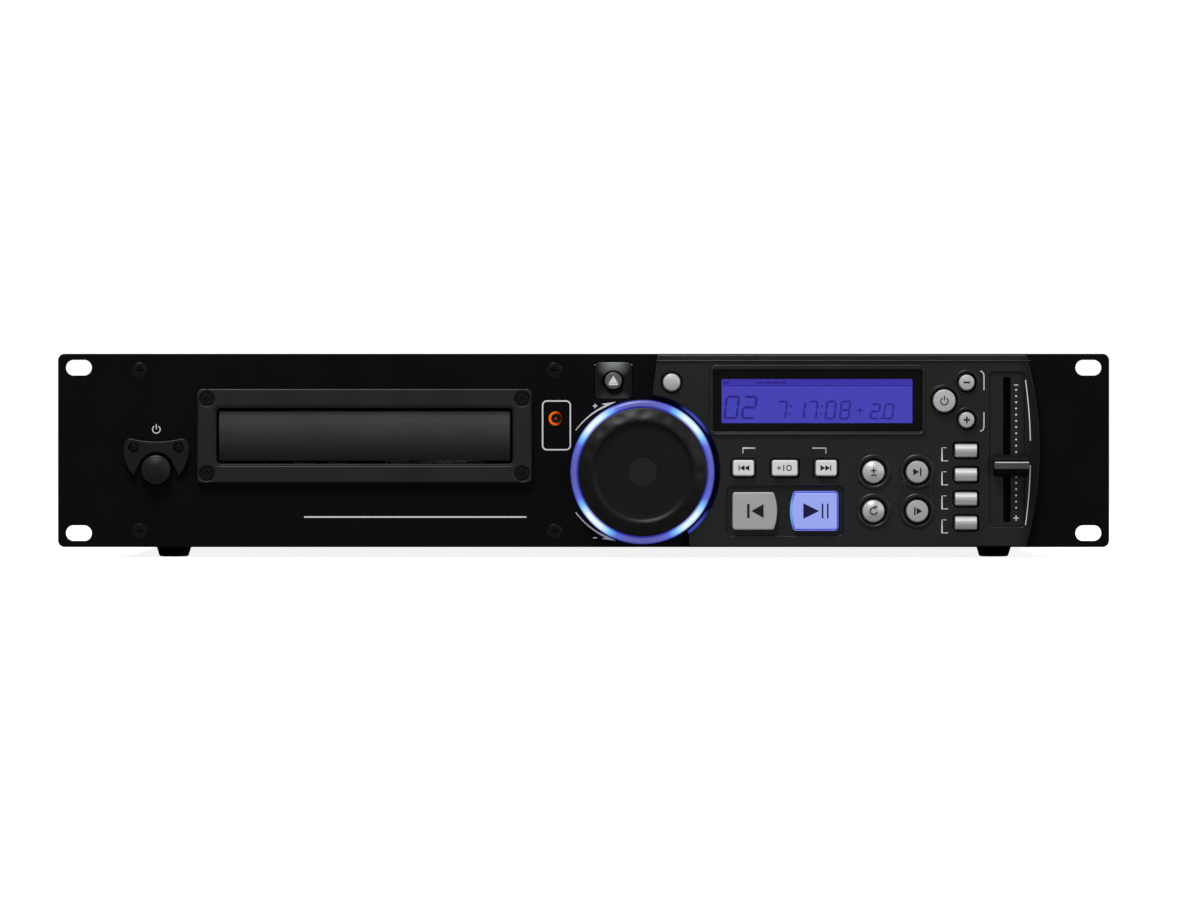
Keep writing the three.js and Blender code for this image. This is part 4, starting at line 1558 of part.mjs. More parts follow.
function outputJacks() {
  const front = CASE_BACK - SHEET - SEAT_GAP - JACK_BODY_DEPTH;
  const back = CASE_BACK - SHEET - SEAT_GAP;
  const width = 4 * JACK_PITCH;
  const body = block([JACK_X - JACK_PITCH / 2, JACK_X - JACK_PITCH / 2 + width], [front, back],
    about(JACK_Z, JACK_BODY_HEIGHT));
  const barrel = (radius, x, reach,
    bore) => cut(rod(radius, back - SEAT_GAP, CASE_BACK + reach, x, JACK_Z, SMALL_STEPS),
      rod(bore, CASE_BACK, CASE_BACK + reach + OVERRUN, x, JACK_Z, TINY_STEPS));
  const jacks = [0, 1, 2].map((k) => barrel(JACK_RADIUS, JACK_X + k * JACK_PITCH, JACK_REACH,
    JACK_BORE));
  const control = barrel(CONTROL_JACK_RADIUS, JACK_X + 3 * JACK_PITCH, CONTROL_JACK_REACH,
    CONTROL_JACK_BORE);
  const leg = block([JACK_X - JACK_PITCH / 2, JACK_X - JACK_PITCH / 2 + width], [front, front + SHEET],
    [PAN_FLOOR + BOARD_STAND + 2 * SEAT_GAP + BOARD_THICK, JACK_Z]);
  return mesh("output_jacks", join(body, jacks, control, leg), blackPlastic);
}

// Assembly: fixed pieces, then each moving group
function group(...pieces) {
  const made = new THREE.Group();
  made.add(...pieces.flat());
  return made;
}

const buttons = group(
  powerButton(),
  ejectButton(),
  roundButtons.map((button) => roundButton({ ...button, front: BUTTON_FRONT,
    flangeY: FASCIA_BACK + SEAT_GAP,
    travelStem: FASCIA_BACK + SEAT_GAP + BUTTON_FLANGE_THICK + STEM_LENGTH, material: silverPlastic })),
  keyButtons.map((key) => keyButton({ ...key, front: BUTTON_FRONT, material: silverPlastic })),
  cueKeys.map((key) => keyButton({ ...key, front: BUTTON_FRONT })),
);

const drawer = group(discTray(), trayDoor());

const traverse = group(traverseFrame(), guideRod(), spindleMotor(), turntable(), laserPickup(),
  sledGear());
traverse.position.set(0, -PIVOT_Y, -PIVOT_Z);
const hungTraverse = group(traverse);
hungTraverse.position.set(0, PIVOT_Y, PIVOT_Z);
hungTraverse.rotation.x = LOWER_ANGLE;

const loader = group(loaderChassis(), clampBridge(), clampPuck(), loadingMotor(), loadingBelt(),
  motorPulley(),
  pulleyGear(), driveGear(), liftSlider(), hungTraverse, drawer);

const housing = group(frontPanel(), chassisPan(), rearPanel(), topCover(), feet(), drawerBezel(),
  powerEscutcheon(), ejectDish(), controlFascia(), displayWindow(), lcdModule(), jogLightRing(),
  sensorLens());

const insides = group(faderBody(), controlBoard(), mainBoard(), mainsTransformer(), mainsInlet(),
  outputJacks());

// The whole player, moved so that its origin is under its middle, at the feet's soles
const player = group(housing, insides, loader, buttons, jogWheel(), faderKnob());
const FRONT_MOST = FASCIA_FRONT - FADER_CAP_GAP - FADER_CAP_THICK - FADER_FIN_RISE;
const REAR_MOST = CASE_BACK + JACK_REACH;
player.position.set(0, -(FRONT_MOST + REAR_MOST) / 2, FOOT_DROP);
player.name = "disc_player";

export default player;
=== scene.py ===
import math

import bpy
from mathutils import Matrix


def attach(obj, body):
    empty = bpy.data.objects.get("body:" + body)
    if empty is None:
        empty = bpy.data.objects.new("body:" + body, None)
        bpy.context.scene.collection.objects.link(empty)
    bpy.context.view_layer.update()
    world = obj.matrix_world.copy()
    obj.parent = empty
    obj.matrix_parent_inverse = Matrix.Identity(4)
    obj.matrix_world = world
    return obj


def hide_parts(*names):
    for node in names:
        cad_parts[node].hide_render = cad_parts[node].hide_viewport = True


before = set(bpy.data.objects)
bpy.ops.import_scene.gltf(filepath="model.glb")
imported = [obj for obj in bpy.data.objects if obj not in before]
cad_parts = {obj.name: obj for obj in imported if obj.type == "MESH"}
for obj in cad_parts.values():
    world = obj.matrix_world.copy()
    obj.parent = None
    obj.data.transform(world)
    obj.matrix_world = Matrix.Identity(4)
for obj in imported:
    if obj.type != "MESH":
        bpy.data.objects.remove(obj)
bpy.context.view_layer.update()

# Front panel: a 4 mm steel plate with four rounded rack slots and openings for the drawer, the jog
# wheel and the controls. It is punched, its edges are broken, and it is coated with fine black powder.
MM = 0.001
QUARTER = math.pi / 2
FACE_PLACE = (0.0, -125.3, 5.0)  # where the panel frame's origin, low on its face, stands in the player
PANEL_MIDDLE = 44.5
CORNERS = [(sx, sz) for sx in (-1, 1) for sz in (-1, 1)]


def let_go():
    if bpy.context.mode != "OBJECT":
        bpy.ops.object.mode_set(mode="OBJECT")
    bpy.ops.object.select_all(action="DESELECT")


def pick(*pieces):
    let_go()
    for piece in pieces:
        piece.select_set(True)
    bpy.context.view_layer.objects.active = pieces[0]


def named(name):
    """The piece that was just made, under its name."""
    piece = bpy.context.object
    piece.name = name
    return piece


def place(piece, spot=(0, 0, 0), turn=(0, 0, 0), size=(1, 1, 1)):
    """Moves, turns and scales a piece, and keeps that in its mesh."""
    pick(piece)
    piece.location, piece.rotation_euler, piece.scale = spot, turn, size
    bpy.ops.object.transform_apply()
    return piece


def shaped(piece, kind, **values):
    """Gives a piece a modifier with those values, and applies it."""
    pick(piece)
    bpy.ops.object.modifier_add(type=kind)
    modifier = piece.modifiers[-1]
    for name, value in values.items():
        setattr(modifier, name, value)
    bpy.ops.object.modifier_apply(modifier=modifier.name)
    return piece


def open_mesh(piece):
    pick(piece)
    bpy.ops.object.mode_set(mode="EDIT")
    bpy.ops.mesh.select_all(action="SELECT")


def weld(piece):
    open_mesh(piece)
    bpy.ops.mesh.remove_doubles(threshold=0.0005)
    bpy.ops.mesh.normals_make_consistent(inside=False)
    bpy.ops.object.mode_set(mode="OBJECT")
    return piece


def arc_points(radius, x, z, start, sweep, steps):
    turns = [math.radians(start + sweep * k / steps) for k in range(steps + 1)]
    return [(x + radius * math.cos(t), z + radius * math.sin(t)) for t in turns]


def circle_points(radius, x, z, steps=64):
    return arc_points(radius, x, z, 0, 360, steps)[:-1]


def box_points(width, height, radius, x, z, steps=6):
    points = []
    for k, (sx, sz) in enumerate(((1, 1), (-1, 1), (-1, -1), (1, -1))):
        centre = (x + sx * (width / 2 - radius), z + sz * (height / 2 - radius))
        points += arc_points(radius, *centre, 90 * k, 90, steps)
    return points


def area_of(points):
    return sum(a[0] * b[1] - b[0] * a[1] for a, b in zip(points, points[1:] + points[:1])) / 2


def plate(name, outer, front, thick, edge=0.0, rounds=2, holes=()):
    """A plate seen from the front, in mm in the panel's frame, with all its edges rounded."""
    let_go()
    bpy.ops.object.add(type="CURVE")
    curve = named(name).data
    curve.dimensions = "2D"
    curve.fill_mode = "BOTH"
    curve.extrude = thick / 2 - edge
    curve.bevel_depth = edge
    curve.bevel_resolution = rounds
    curve.offset = -edge
    for outlines, turn in ((outer, 1), (holes, -1)):
        for outline in outlines:
            ordered = outline if area_of(outline) * turn > 0 else outline[::-1]
            spline = curve.splines.new("POLY")
            spline.points.add(len(ordered) - 1)
            for point, (x, z) in zip(spline.points, ordered):
                point.co = (x, z, 0, 1)
            spline.use_cyclic_u = True
    bpy.ops.object.convert(target="MESH")
    return weld(place(bpy.context.object, (0, front + thick / 2, 0), (QUARTER, 0, 0)))


def join_pieces(name, *pieces):
    pick(*pieces)
    bpy.ops.object.join()
    return named(name)


def settle(piece, slot, finish, *nodes, body="player", smooth=38):
    """Brings a piece from the panel's millimetres to its place in the player, and hangs it on its body."""
    if smooth:
        pick(piece)
        bpy.ops.object.shade_smooth_by_angle(angle=math.radians(smooth))
        shaped(piece, "WEIGHTED_NORMAL", keep_sharp=True)
    place(piece, [MM * value for value in FACE_PLACE], size=(MM, MM, MM))
    piece.data.materials.clear()
    piece.data.materials.append(finish)
    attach(piece, body)
    if nodes:
        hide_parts(*nodes)


def linear(r, g, b):
    """A colour given as seen on a screen, from 0 to 255, as the shader's own light values."""
    values = [v / 255 for v in (r, g, b)]
    return tuple(v / 12.92 if v < 0.04045 else ((v + 0.055) / 1.055) ** 2.4 for v in values) + (1.0,)


def feed(tree, node, sockets):
    """Gives each named socket its value, or links it to the socket that it is given."""
    for name, value in sockets.items():
        if isinstance(value, bpy.types.NodeSocket):
            tree.links.new(value, node.inputs[name])
        else:
            node.inputs[name].default_value = value


def add_node(tree, kind, sockets, **settings):
    node = tree.nodes.new("ShaderNode" + kind)
    for name, value in settings.items():
        setattr(node, name, value)
    feed(tree, node, sockets)
    return node


def ramp(tree, level, stops):
    """Turns a level into a colour, by stops of position and colour."""
    node = add_node(tree, "ValToRGB", {"Fac": level})
    ends = node.color_ramp.elements
    for end, stop in ((ends[0], stops[0]), (ends[1], stops[-1])):
        end.position, end.color = stop
    for position, colour in stops[1:-1]:
        ends.new(position).color = colour
    return node.outputs["Color"]


def set_shader(material, sockets):
    feed(material.node_tree, material.node_tree.nodes["Principled BSDF"], sockets)
    return material


def new_group(name, levels_in, levels_out):
    """A node group that takes a place and some levels and gives levels, with its start and end sockets."""
    tree = bpy.data.node_groups.new(name, "ShaderNodeTree")
    tree.interface.new_socket("Place", in_out="INPUT", socket_type="NodeSocketVector")
    for way, levels in (("INPUT", levels_in), ("OUTPUT", levels_out)):
        for level in levels:
            tree.interface.new_socket(level, in_out=way, socket_type="NodeSocketFloat")
    return tree, tree.nodes.new("NodeGroupInput").outputs, tree.nodes.new("NodeGroupOutput").inputs


def surface_grain():
    """Fine grain for the bump, and a slow cloudy change for colour and gloss."""
    tree, start, end = new_group("surface grain", ["Grain per metre"], ["Height", "Cloud"])
    fine = add_node(tree, "TexNoise", {"Vector": start["Place"], "Scale": start["Grain per metre"],
                                       "Detail": 3.0, "Roughness": 0.6})
    cloud = add_node(tree, "TexNoise", {"Vector": start["Place"], "Scale": 38.0, "Detail": 4.0})
    tree.links.new(fine.outputs["Fac"], end["Height"])
    tree.links.new(cloud.outputs["Fac"], end["Cloud"])
    return tree


GRAIN = surface_grain()
GRAIN_DEPTH = 0.0002


def finish_of(name, colour, rough, grain=2400.0, relief=0.12, metal=0.0, gloss=0.5, shade=0.12):
    """A coat or moulding: its colour and gloss drift a little and its grain shows in the light."""
    material = bpy.data.materials.new(name)
    material.use_nodes = True
    tree = material.node_tree
    where = add_node(tree, "TexCoord", {}).outputs["Object"]
    grains = add_node(tree, "Group", {"Place": where, "Grain per metre": grain}, node_tree=GRAIN).outputs
    height, cloud = grains["Height"], grains["Cloud"]
    tones = [[min(1.0, v * drift) for v in linear(*colour)[:3]] + [1] for drift in (1 - shade, 1 + shade)]
    sheen = add_node(tree, "MapRange", {"Value": cloud, "To Min": max(0.03, rough - 0.06),
                                        "To Max": rough + 0.06}).outputs["Result"]
    bump = add_node(tree, "Bump", {"Height": height, "Strength": relief, "Distance": GRAIN_DEPTH})
    return set_shader(material, {
        "Base Color": ramp(tree, cloud, ((0.3, tones[0]), (0.72, tones[1]))), "Roughness": sheen,
        "Normal": bump.outputs["Normal"], "Metallic": metal, "Specular IOR Level": gloss})


DRAWER = (-100.8, 51.2)
WINDOW = (136.4, 25.8)
POWER = (-196.7, 35.6)
EJECT = (13.7, 76.6)
SENSOR = (-12.8, 59.2)
JOG = (27.1, 34.6)
JOG_MODE = (40.5, 75.9)
black_coat = finish_of("fine black powder coat", (7, 8, 10), 0.46, 2300, 0.5, gloss=0.1)
openings = [box_points(12.2, 7.2, 3.58, sx * 232.55, PANEL_MIDDLE + sz * 38.1, 12) for sx, sz in CORNERS]
openings += [
    box_points(WINDOW[0] + 3.8, WINDOW[1] + 3.8, 2, *DRAWER), circle_points(7.2, *POWER),
    box_points(17.5, 17.5, 1, *EJECT), circle_points(3.6, *SENSOR), circle_points(28.2, *JOG, 96),
    circle_points(5.6, *JOG_MODE), box_points(141.2, 77.8, 3, 130.6, PANEL_MIDDLE),
]
panel = plate("front_plate", [box_points(484, 89, 3, 0, PANEL_MIDDLE)], 0, 4, 0.25, 2, openings)
settle(panel, "black_paint", black_coat, "front_panel")

# Panel printing: thin white lines and plain signs, silk-screened on the coated plate. The arrows round
# the wheel show which way it is turned, and the frame marks the remote sensor.
INK = 0.05


def stroke(points, start, end=None):
    """A drawn line's outline through the points, from one width to another."""
    end = start if end is None else end
    left, right = [], []
    for k, (x, z) in enumerate(points):
        before = points[max(k - 1, 0)]
        after = points[min(k + 1, len(points) - 1)]
        dx, dz = after[0] - before[0], after[1] - before[1]
        length = math.hypot(dx, dz)
        half = (start + (end - start) * k / (len(points) - 1)) / 2
        if 0 < k < len(points) - 1:
            ax, az = x - before[0], z - before[1]
            half /= max((ax * dx + az * dz) / (math.hypot(ax, az) * length), 0.5)
        nx, nz = -dz / length * half, dx / length * half
        left.append((x + nx, z + nz))
        right.append((x - nx, z - nz))
    return left + right[::-1]


def plus(x, z, size, width):
    a, b = size / 2, width / 2
    return [(x - b, z - a), (x + b, z - a), (x + b, z - b), (x + a, z - b), (x + a, z + b), (x + b, z + b),
            (x + b, z + a), (x - b, z + a), (x - b, z + b), (x - a, z + b), (x - a, z - b), (x - b, z - b)]


def bar(x, z, width, height):
    a, b = width / 2, height / 2
    return [(x - a, z - b), (x + a, z - b), (x + a, z + b), (x - a, z + b)]


def power_mark(x, z, radius, low):
    """An open circle with an upright line in its gap."""
    return [stroke(arc_points(radius, x, z, 125, 290, 20), 0.45), stroke([(x, z + low), (x, z + 2.4)], 0.45)]


def printed(name, shapes, surface, finish, body="player", holes=()):
    """Ink shapes lying on a surface at that depth; each is a closed outline."""
    settle(plate(name, shapes, surface - INK, INK, holes=holes), "white_plastic", finish, body=body, smooth=0)


white_ink = finish_of("white ink", (206, 206, 206), 0.5, 4000, 0.05, gloss=0.2, shade=0.04)
sweep_line = [arc_points(36.2 - 0.1 * k, *JOG, 148.0 - 2.05 * k, 0, 1)[0] for k in range(15)]
sweep_arrow = stroke(sweep_line, 0.35, 0.95)
sweep_arrow[15:15] = [(8.3, 66.0), (15.0, 66.9)]
low_arrow = [(x, 2 * (JOG[1] + 0.3) - z) for x, z in sweep_arrow]
SENSOR_FIELD = (-12.5, 56.05)
panel_lines = [stroke([(-128.7, 13.85), (-26.3, 13.85)], 0.7), sweep_arrow, low_arrow,
               plus(5.3, 65.0, 2.0, 0.55), bar(5.3, 4.3, 1.8, 0.55),
               box_points(13.4, 23.1, 2.3, *SENSOR_FIELD)]
printed("panel_print", panel_lines, 0, white_ink, holes=[box_points(12.1, 21.8, 1.7, *SENSOR_FIELD)])
printed("power_sign", power_mark(POWER[0], 54.2, 1.75, 0.1), 0, white_ink)

# Panel screws: black cross-head countersunk screws that hold the plate to the case and the bezel to
# the plate. Heads are cold-formed steel with a cross driven in.


def turned(name, profile, x, z, steps=64, ring=False):
    """A turned shape about an axis from front to back: (radius, depth) pairs, closed by caps or as a ring."""
    let_go()
    radius, depth = profile[0]
    bpy.ops.mesh.primitive_circle_add(vertices=steps, radius=radius, fill_type="NOTHING" if ring else "NGON",
                                      location=(x, depth, z), rotation=(QUARTER, 0, 0))
    piece = named(name)
    open_mesh(piece)
    for next_radius, next_depth in profile[1:] + (profile[:1] if ring else []):
        bpy.ops.mesh.extrude_region_move(TRANSFORM_OT_translate={"value": (0, next_depth - depth, 0)})
        ratio = next_radius / radius
        bpy.ops.transform.resize(value=(ratio, 1, ratio), center_override=(x, next_depth, z))
        radius, depth = next_radius, next_depth
    bpy.ops.object.mode_set(mode="OBJECT")
    bpy.ops.object.transform_apply()
    return weld(piece)


def carve(piece, *tools):
    """Cuts the tools out of the piece and clears them away."""
    for tool in tools:
        shaped(piece, "BOOLEAN", operation="DIFFERENCE", solver="EXACT", object=tool)
        bpy.data.objects.remove(tool)


def round_edges(piece, width, degrees=40):
    return shaped(piece, "BEVEL", width=width, segments=3, limit_method="ANGLE",
                  angle_limit=math.radians(degrees))


def block(name, x0, x1, y0, y1, z0, z1, edge=0.0):
    let_go()
    bpy.ops.mesh.primitive_cube_add(size=1, location=((x0 + x1) / 2, (y0 + y1) / 2, (z0 + z1) / 2),
                                    scale=(x1 - x0, y1 - y0, z1 - z0))
    piece = named(name)
    bpy.ops.object.transform_apply()
    return round_edges(piece, edge) if edge else piece


black_screw = finish_of("black screw steel", (12, 12, 14), 0.3, 1500, 0.1, gloss=0.35)


def place_screws(name, radius, dome, places, turn=0):
    """Cross-head screws with their faces forward, or turned by that many degrees about an upright axis."""
    profile = [(0.45, 1.6), (0.62, 0.5), (1, 0.0), (0.97, -0.12 * dome), (0.8, -0.55 * dome),
               (0.5, -0.85 * dome), (0.2, -dome)]
    head = turned("screw_head", [(radius * share, depth) for share, depth in profile], 0, 0, 32)
    arm, slit = radius * 0.56, 0.36
    carve(head, block("arm_a", -arm, arm, -2, 0.9, -slit, slit),
          block("arm_b", -slit, slit, -2, 0.9, -arm, arm))
    for k, spot in enumerate(places):
        pick(head)
        bpy.ops.object.duplicate()
        screw = place(named(f"{name}_{k + 1}"), spot, (0, 0, math.radians(turn)))
        settle(screw, "steel", black_screw, smooth=30)
    bpy.data.objects.remove(head)


place_screws("panel_screw", 3.4, 0.5,
             [(x, 0.02, PANEL_MIDDLE + sz * 37.1) for x in (-204.5, -13.5) for sz in (-1, 1)])

# Drawer bezel: a moulded frame with a flared window, fixed by four screws in counterbores, and a sleeve
# that lines the opening in the plate.
bezel_plastic = finish_of("dark grey satin moulding", (32, 34, 33), 0.42, 1700, 0.1, gloss=0.25)
BEZEL_FRONT = -2.9
bezel_corners = [(DRAWER[0] + sx * (WINDOW[0] / 2 + 4.3), DRAWER[1] + sz * (WINDOW[1] / 2 + 4.3))
                 for sx, sz in CORNERS]
flare = box_points(WINDOW[0] + 1.8, WINDOW[1] + 1.8, 2.6, *DRAWER)
bezel = join_pieces(
    "bezel",
    plate("bezel_frame", [box_points(153.8, 43.2, 2.2, *DRAWER)], BEZEL_FRONT, 2.6, 0.55, 3,
          [flare] + [circle_points(3.6, *corner, 32) for corner in bezel_corners]),
    plate("bezel_lip", [box_points(WINDOW[0] + 2.6, WINDOW[1] + 2.6, 2.8, *DRAWER)],
          BEZEL_FRONT + 0.75, 6, 0.3, 2, [box_points(*WINDOW, 2, *DRAWER)]),
    plate("bezel_seat", [box_points(153.4, 42.8, 2, *DRAWER)], BEZEL_FRONT + 1.6, 0.9, holes=[flare]))
settle(bezel, "dark_plastic", bezel_plastic, "drawer_bezel")
place_screws("bezel_screw", 2.75, 0.35, [(x, -2.0, z) for x, z in bezel_corners])

# Tray door: a moulded cap clipped to the front of the tray, softly crowned from top to bottom, with
# rounded edges. It closes the window when the tray is in.


def graded(material, measure, start, stop, low, high, socket="Base Color"):
    """Changes a colour or level evenly with place: along "X" or "Z", or by the distance from a point, in the
    panel's mm."""
    tree = material.node_tree
    where = tree.nodes["Texture Coordinate"].outputs["Object"]
    if isinstance(measure, str):
        shift = FACE_PLACE["XYZ".index(measure)]
        value = add_node(tree, "SeparateXYZ", {"Vector": where}).outputs[measure]
    else:
        shift, spot = 0, [MM * (a + b) for a, b in zip(measure, FACE_PLACE)]
        value = add_node(tree, "VectorMath", {0: where, 1: spot}, operation="DISTANCE").outputs["Value"]
    tinted = isinstance(low, tuple)
    change = add_node(tree, "MapRange", {
        "Value": value, "From Min": MM * (start + shift), "From Max": MM * (stop + shift),
        "To Min": 0.0 if tinted else low, "To Max": 1.0 if tinted else high}, interpolation_type="SMOOTHSTEP")
    result = change.outputs["Result"]
    if tinted:
        result = ramp(tree, result, ((0.0, linear(*low)), (1.0, linear(*high))))
    elif socket == "Base Color":
        colour = tree.nodes["Principled BSDF"].inputs[socket].links[0].from_socket
        scaled = add_node(tree, "VectorMath", {0: colour, "Scale": result}, operation="SCALE")
        result = scaled.outputs["Vector"]
    return set_shader(material, {socket: result})


def crowned(name, width, height, thick, crown, centre, front, edge):
    """A block whose front swells by crown between its long edges, with rounded edges."""
    x, z = centre
    piece = block(name, x - width / 2, x + width / 2, front, front + thick, z - height / 2, z + height / 2)
    open_mesh(piece)
    bpy.ops.mesh.subdivide(number_cuts=15)
    bpy.ops.object.mode_set(mode="OBJECT")
    for vertex in piece.data.vertices:
        if vertex.co.y < front + thick / 2:
            vertex.co.y += crown * ((vertex.co.z - z) / (height / 2)) ** 2
    return round_edges(piece, edge, 50)


# Painted shade: the door's colour runs from light at its top to dark at its bottom, as light from above falls
# on it.
door_plastic = graded(finish_of("smooth grey door moulding", (54, 54, 54), 0.36, 1500, 0.05, gloss=0.4),
                      "Z", 39, 62, 0.12, 1.15)
settle(crowned("door", 133.8, 22.6, 3, 1.3, DRAWER, -1.7, 0.5), "door_plastic", door_plastic, "tray_door",
       body="tray")

# Power switch: a domed push button in a shield-shaped moulding, which two small screws hold on.
POWER_BITE = 8.0


def curve_through(start, pull, end, steps=10):
    """A bend from start to end drawn towards pull."""
    shares = [k / steps for k in range(steps + 1)]
    return [tuple((1 - t) ** 2 * a + 2 * t * (1 - t) * b + t * t * c for a, b, c in zip(start, pull, end))
            for t in shares]


def shield_outline():
    half, top, tip_x, tip_z = 15.0, 14.4, 10.4, -2.5
    right = curve_through((tip_x, tip_z), (half, 2.5), (half, 9.2)) + \
        curve_through((half, 9.2), (half, top + 0.3), (11.4, top))[1:]
    crest = curve_through((11.4, top), (0, top - 2.8), (-11.4, top))[1:]
    left = [(-x, z) for x, z in right[::-1]][1:]
    grip = math.degrees(math.asin(2.5 / POWER_BITE))
    bite = arc_points(POWER_BITE, 0, 0, 180 - grip, 2 * grip - 180, 24)
    return [(POWER[0] + x, POWER[1] + z) for x, z in right + crest + left + bite]


shield_screws = [(POWER[0] + sx * 10.3, POWER[1] + 10.3) for sx in (-1, 1)]
shield = plate("shield", [shield_outline()], -2.3, 2, 0.6, 3)
carve(shield, *[turned("dimple", [(2.6, -3), (2.6, -1.2)], *p, 32) for p in shield_screws])
shield_plastic = finish_of("dark shield moulding", (24, 26, 25), 0.42, 1700, 0.1, gloss=0.2)
settle(shield, "dark_plastic", shield_plastic, "power_escutcheon")
place_screws("shield_screw", 2.1, 0.7, [(x, -1.22, z) for x, z in shield_screws])


def domed(name, x, z, radius, front, back, dome, edge=0.5, steps=64):
    """A round key: straight side, rounded edge and a domed face."""
    profile = [(radius, back), (radius, front + dome + edge)]
    for k in range(1, 5):
        turn = QUARTER * k / 4
        profile.append((radius - edge * (1 - math.cos(turn)), front + dome + edge * (1 - math.sin(turn))))
    face = radius - edge
    for share in (0.85, 0.7, 0.55, 0.4, 0.25, 0.1):
        profile.append((face * share, front + dome * share * share))
    return turned(name, profile, x, z, steps)


power_plastic = finish_of("dark button moulding", (24, 25, 25), 0.42, 1700, 0.08, gloss=0.25)
power_key = join_pieces("power_key", domed("power_cap", *POWER, 6.8, -6, 9, 1.6, 1.0),
                        turned("power_collar", [(7.9, 4.5), (7.9, 5.7)], *POWER, 64))
settle(power_key, "dark_plastic", power_plastic, "power_button", body="power_button")

# Eject button: a small grey key with a printed sign, in a square dish let into the plate. A painted
# highlight makes the dish lightest at the middle of its upper edge.


def squared(piece, centre, inner, outer):
    """Draws a turned dish out to a square: untouched at the inner radius, square at the outer one."""
    for vertex in piece.data.vertices:
        dx, dz = vertex.co.x - centre[0], vertex.co.z - centre[1]
        radius = math.hypot(dx, dz)
        if radius <= inner * 1.001:
            continue
        share = min(1.0, (radius - inner) / (outer - inner))
        cosine, sine = abs(dx) / radius, abs(dz) / radius
        side = outer / (cosine ** 14 + sine ** 14) ** (1 / 14)
        reach = inner + share * (side - inner)
        vertex.co.x = centre[0] + dx / radius * reach
        vertex.co.z = centre[1] + dz / radius * reach
    return piece


dish_profile = [(4.0, 5.6), (8.45, 5.6), (8.45, 0.0), (8.4, -0.05), (8.2, -0.04), (7.9, 0.12), (7.5, 0.45),
                (6.9, 0.95), (6.2, 1.45), (5.6, 1.85), (5.1, 2.1), (4.9, 2.2), (4.78, 2.4), (4.78, 5.2),
                (4.0, 5.2)]
dish = squared(turned("dish", dish_profile, *EJECT, 96, ring=True), EJECT, 4.78, 8.45)
# Painted highlight: the dish's colour brightens strongly near the middle of its upper edge.
dish_painted_highlight = graded(finish_of("dish moulding", (27, 28, 28), 0.5, 1700, 0.06, gloss=0.06),
                      (EJECT[0], 0.4, EJECT[1] + 8.0), 0.5, 8.5, 34.0, 0.8)
settle(dish, "dark_plastic", dish_painted_highlight, "eject_dish")
eject_grey = finish_of("grey key moulding", (84, 85, 86), 0.36, 1700, 0.05)
settle(domed("eject_cap", *EJECT, 3.9, -0.6, 7, 0.2, 0.5), "silver_plastic", eject_grey, "eject_button",
       body="eject_button")
eject_sign = [[(EJECT[0] - 2.1, EJECT[1] - 1.0), (EJECT[0] + 2.1, EJECT[1] - 1.0),
               (EJECT[0], EJECT[1] + 2.3)], bar(EJECT[0], EJECT[1] - 1.62, 4.2, 0.9)]
printed("eject_sign", eject_sign, -0.61, white_ink, "eject_button")

# Remote sensor: a clear orange collar pressed into the plate from behind, round a black domed eye with a
# small orange point. The collar's glow is painted light, strongest on its left, and painted shade darkens it
# towards the right; the point carries the same painted glow.
lens_painted_glow = finish_of("clear orange lens", (176, 62, 6), 0.12, 900, 0.02, gloss=0.5)
set_shader(lens_painted_glow, {"Emission Color": linear(244, 112, 14)})
graded(lens_painted_glow, "X", SENSOR[0] - 2.6, SENSOR[0] + 2.4, 0.62, 0.0, "Emission Strength")
graded(lens_painted_glow, "X", SENSOR[0] - 0.5, SENSOR[0] + 3.0, 1.0, 0.15)
lens = turned("lens", [(3.3, 9), (3.3, 0.1), (3.2, -0.4), (2.95, -0.7), (2.6, -0.75), (2.35, -0.5),
                       (2.25, 0.0), (2.2, 0.8)], *SENSOR, 48)
settle(lens, "amber_plastic", lens_painted_glow, "remote_sensor_lens")
eye_black = finish_of("gloss black eye", (10, 9, 9), 0.08, 900, 0.01, gloss=0.6)
settle(domed("lens_eye", *SENSOR, 2.18, -0.3, 0.9, 0.35, 0.2, 32), "black_plastic", eye_black)
settle(domed("lens_spark", *SENSOR, 0.42, -0.5, 0.2, 0.1, 0.1, 20), "amber_plastic", lens_painted_glow)

# Light ring: a clear plastic collar round the wheel, glowing violet, with a white-blue spot on each
# diagonal where a lamp stands behind it.
WHEEL_PLACE = tuple(MM * (a + b) for a, b in zip((JOG[0], 0.0, JOG[1]), FACE_PLACE))


def sum_of(tree, operation, *values):
    """One step of arithmetic between nodes or numbers."""
    return add_node(tree, "Math", dict(enumerate(values)), operation=operation).outputs["Value"]


def round_the_wheel():
    """The distance from the wheel's axis in metres, and how near a place is to a diagonal, from 0 to 1."""
    tree, start, end = new_group("round the wheel", [], ["Reach", "Diagonal"])
    centred = add_node(tree, "VectorMath", {0: start["Place"], 1: WHEEL_PLACE}, operation="SUBTRACT")
    parts = add_node(tree, "SeparateXYZ", {"Vector": centred.outputs["Vector"]}).outputs
    x, z = parts["X"], parts["Z"]
    squares = sum_of(tree, "ADD", sum_of(tree, "MULTIPLY", x, x), sum_of(tree, "MULTIPLY", z, z))
    twice = sum_of(tree, "MULTIPLY", sum_of(tree, "MULTIPLY", x, z), 2.0)
    tree.links.new(sum_of(tree, "SQRT", squares), end["Reach"])
    tree.links.new(sum_of(tree, "ABSOLUTE", sum_of(tree, "DIVIDE", twice, squares)), end["Diagonal"])
    return tree


ROUND_THE_WHEEL = round_the_wheel()


def wheel_measure(tree):
    where = tree.nodes["Texture Coordinate"].outputs["Object"]
    return add_node(tree, "Group", {"Place": where}, node_tree=ROUND_THE_WHEEL).outputs


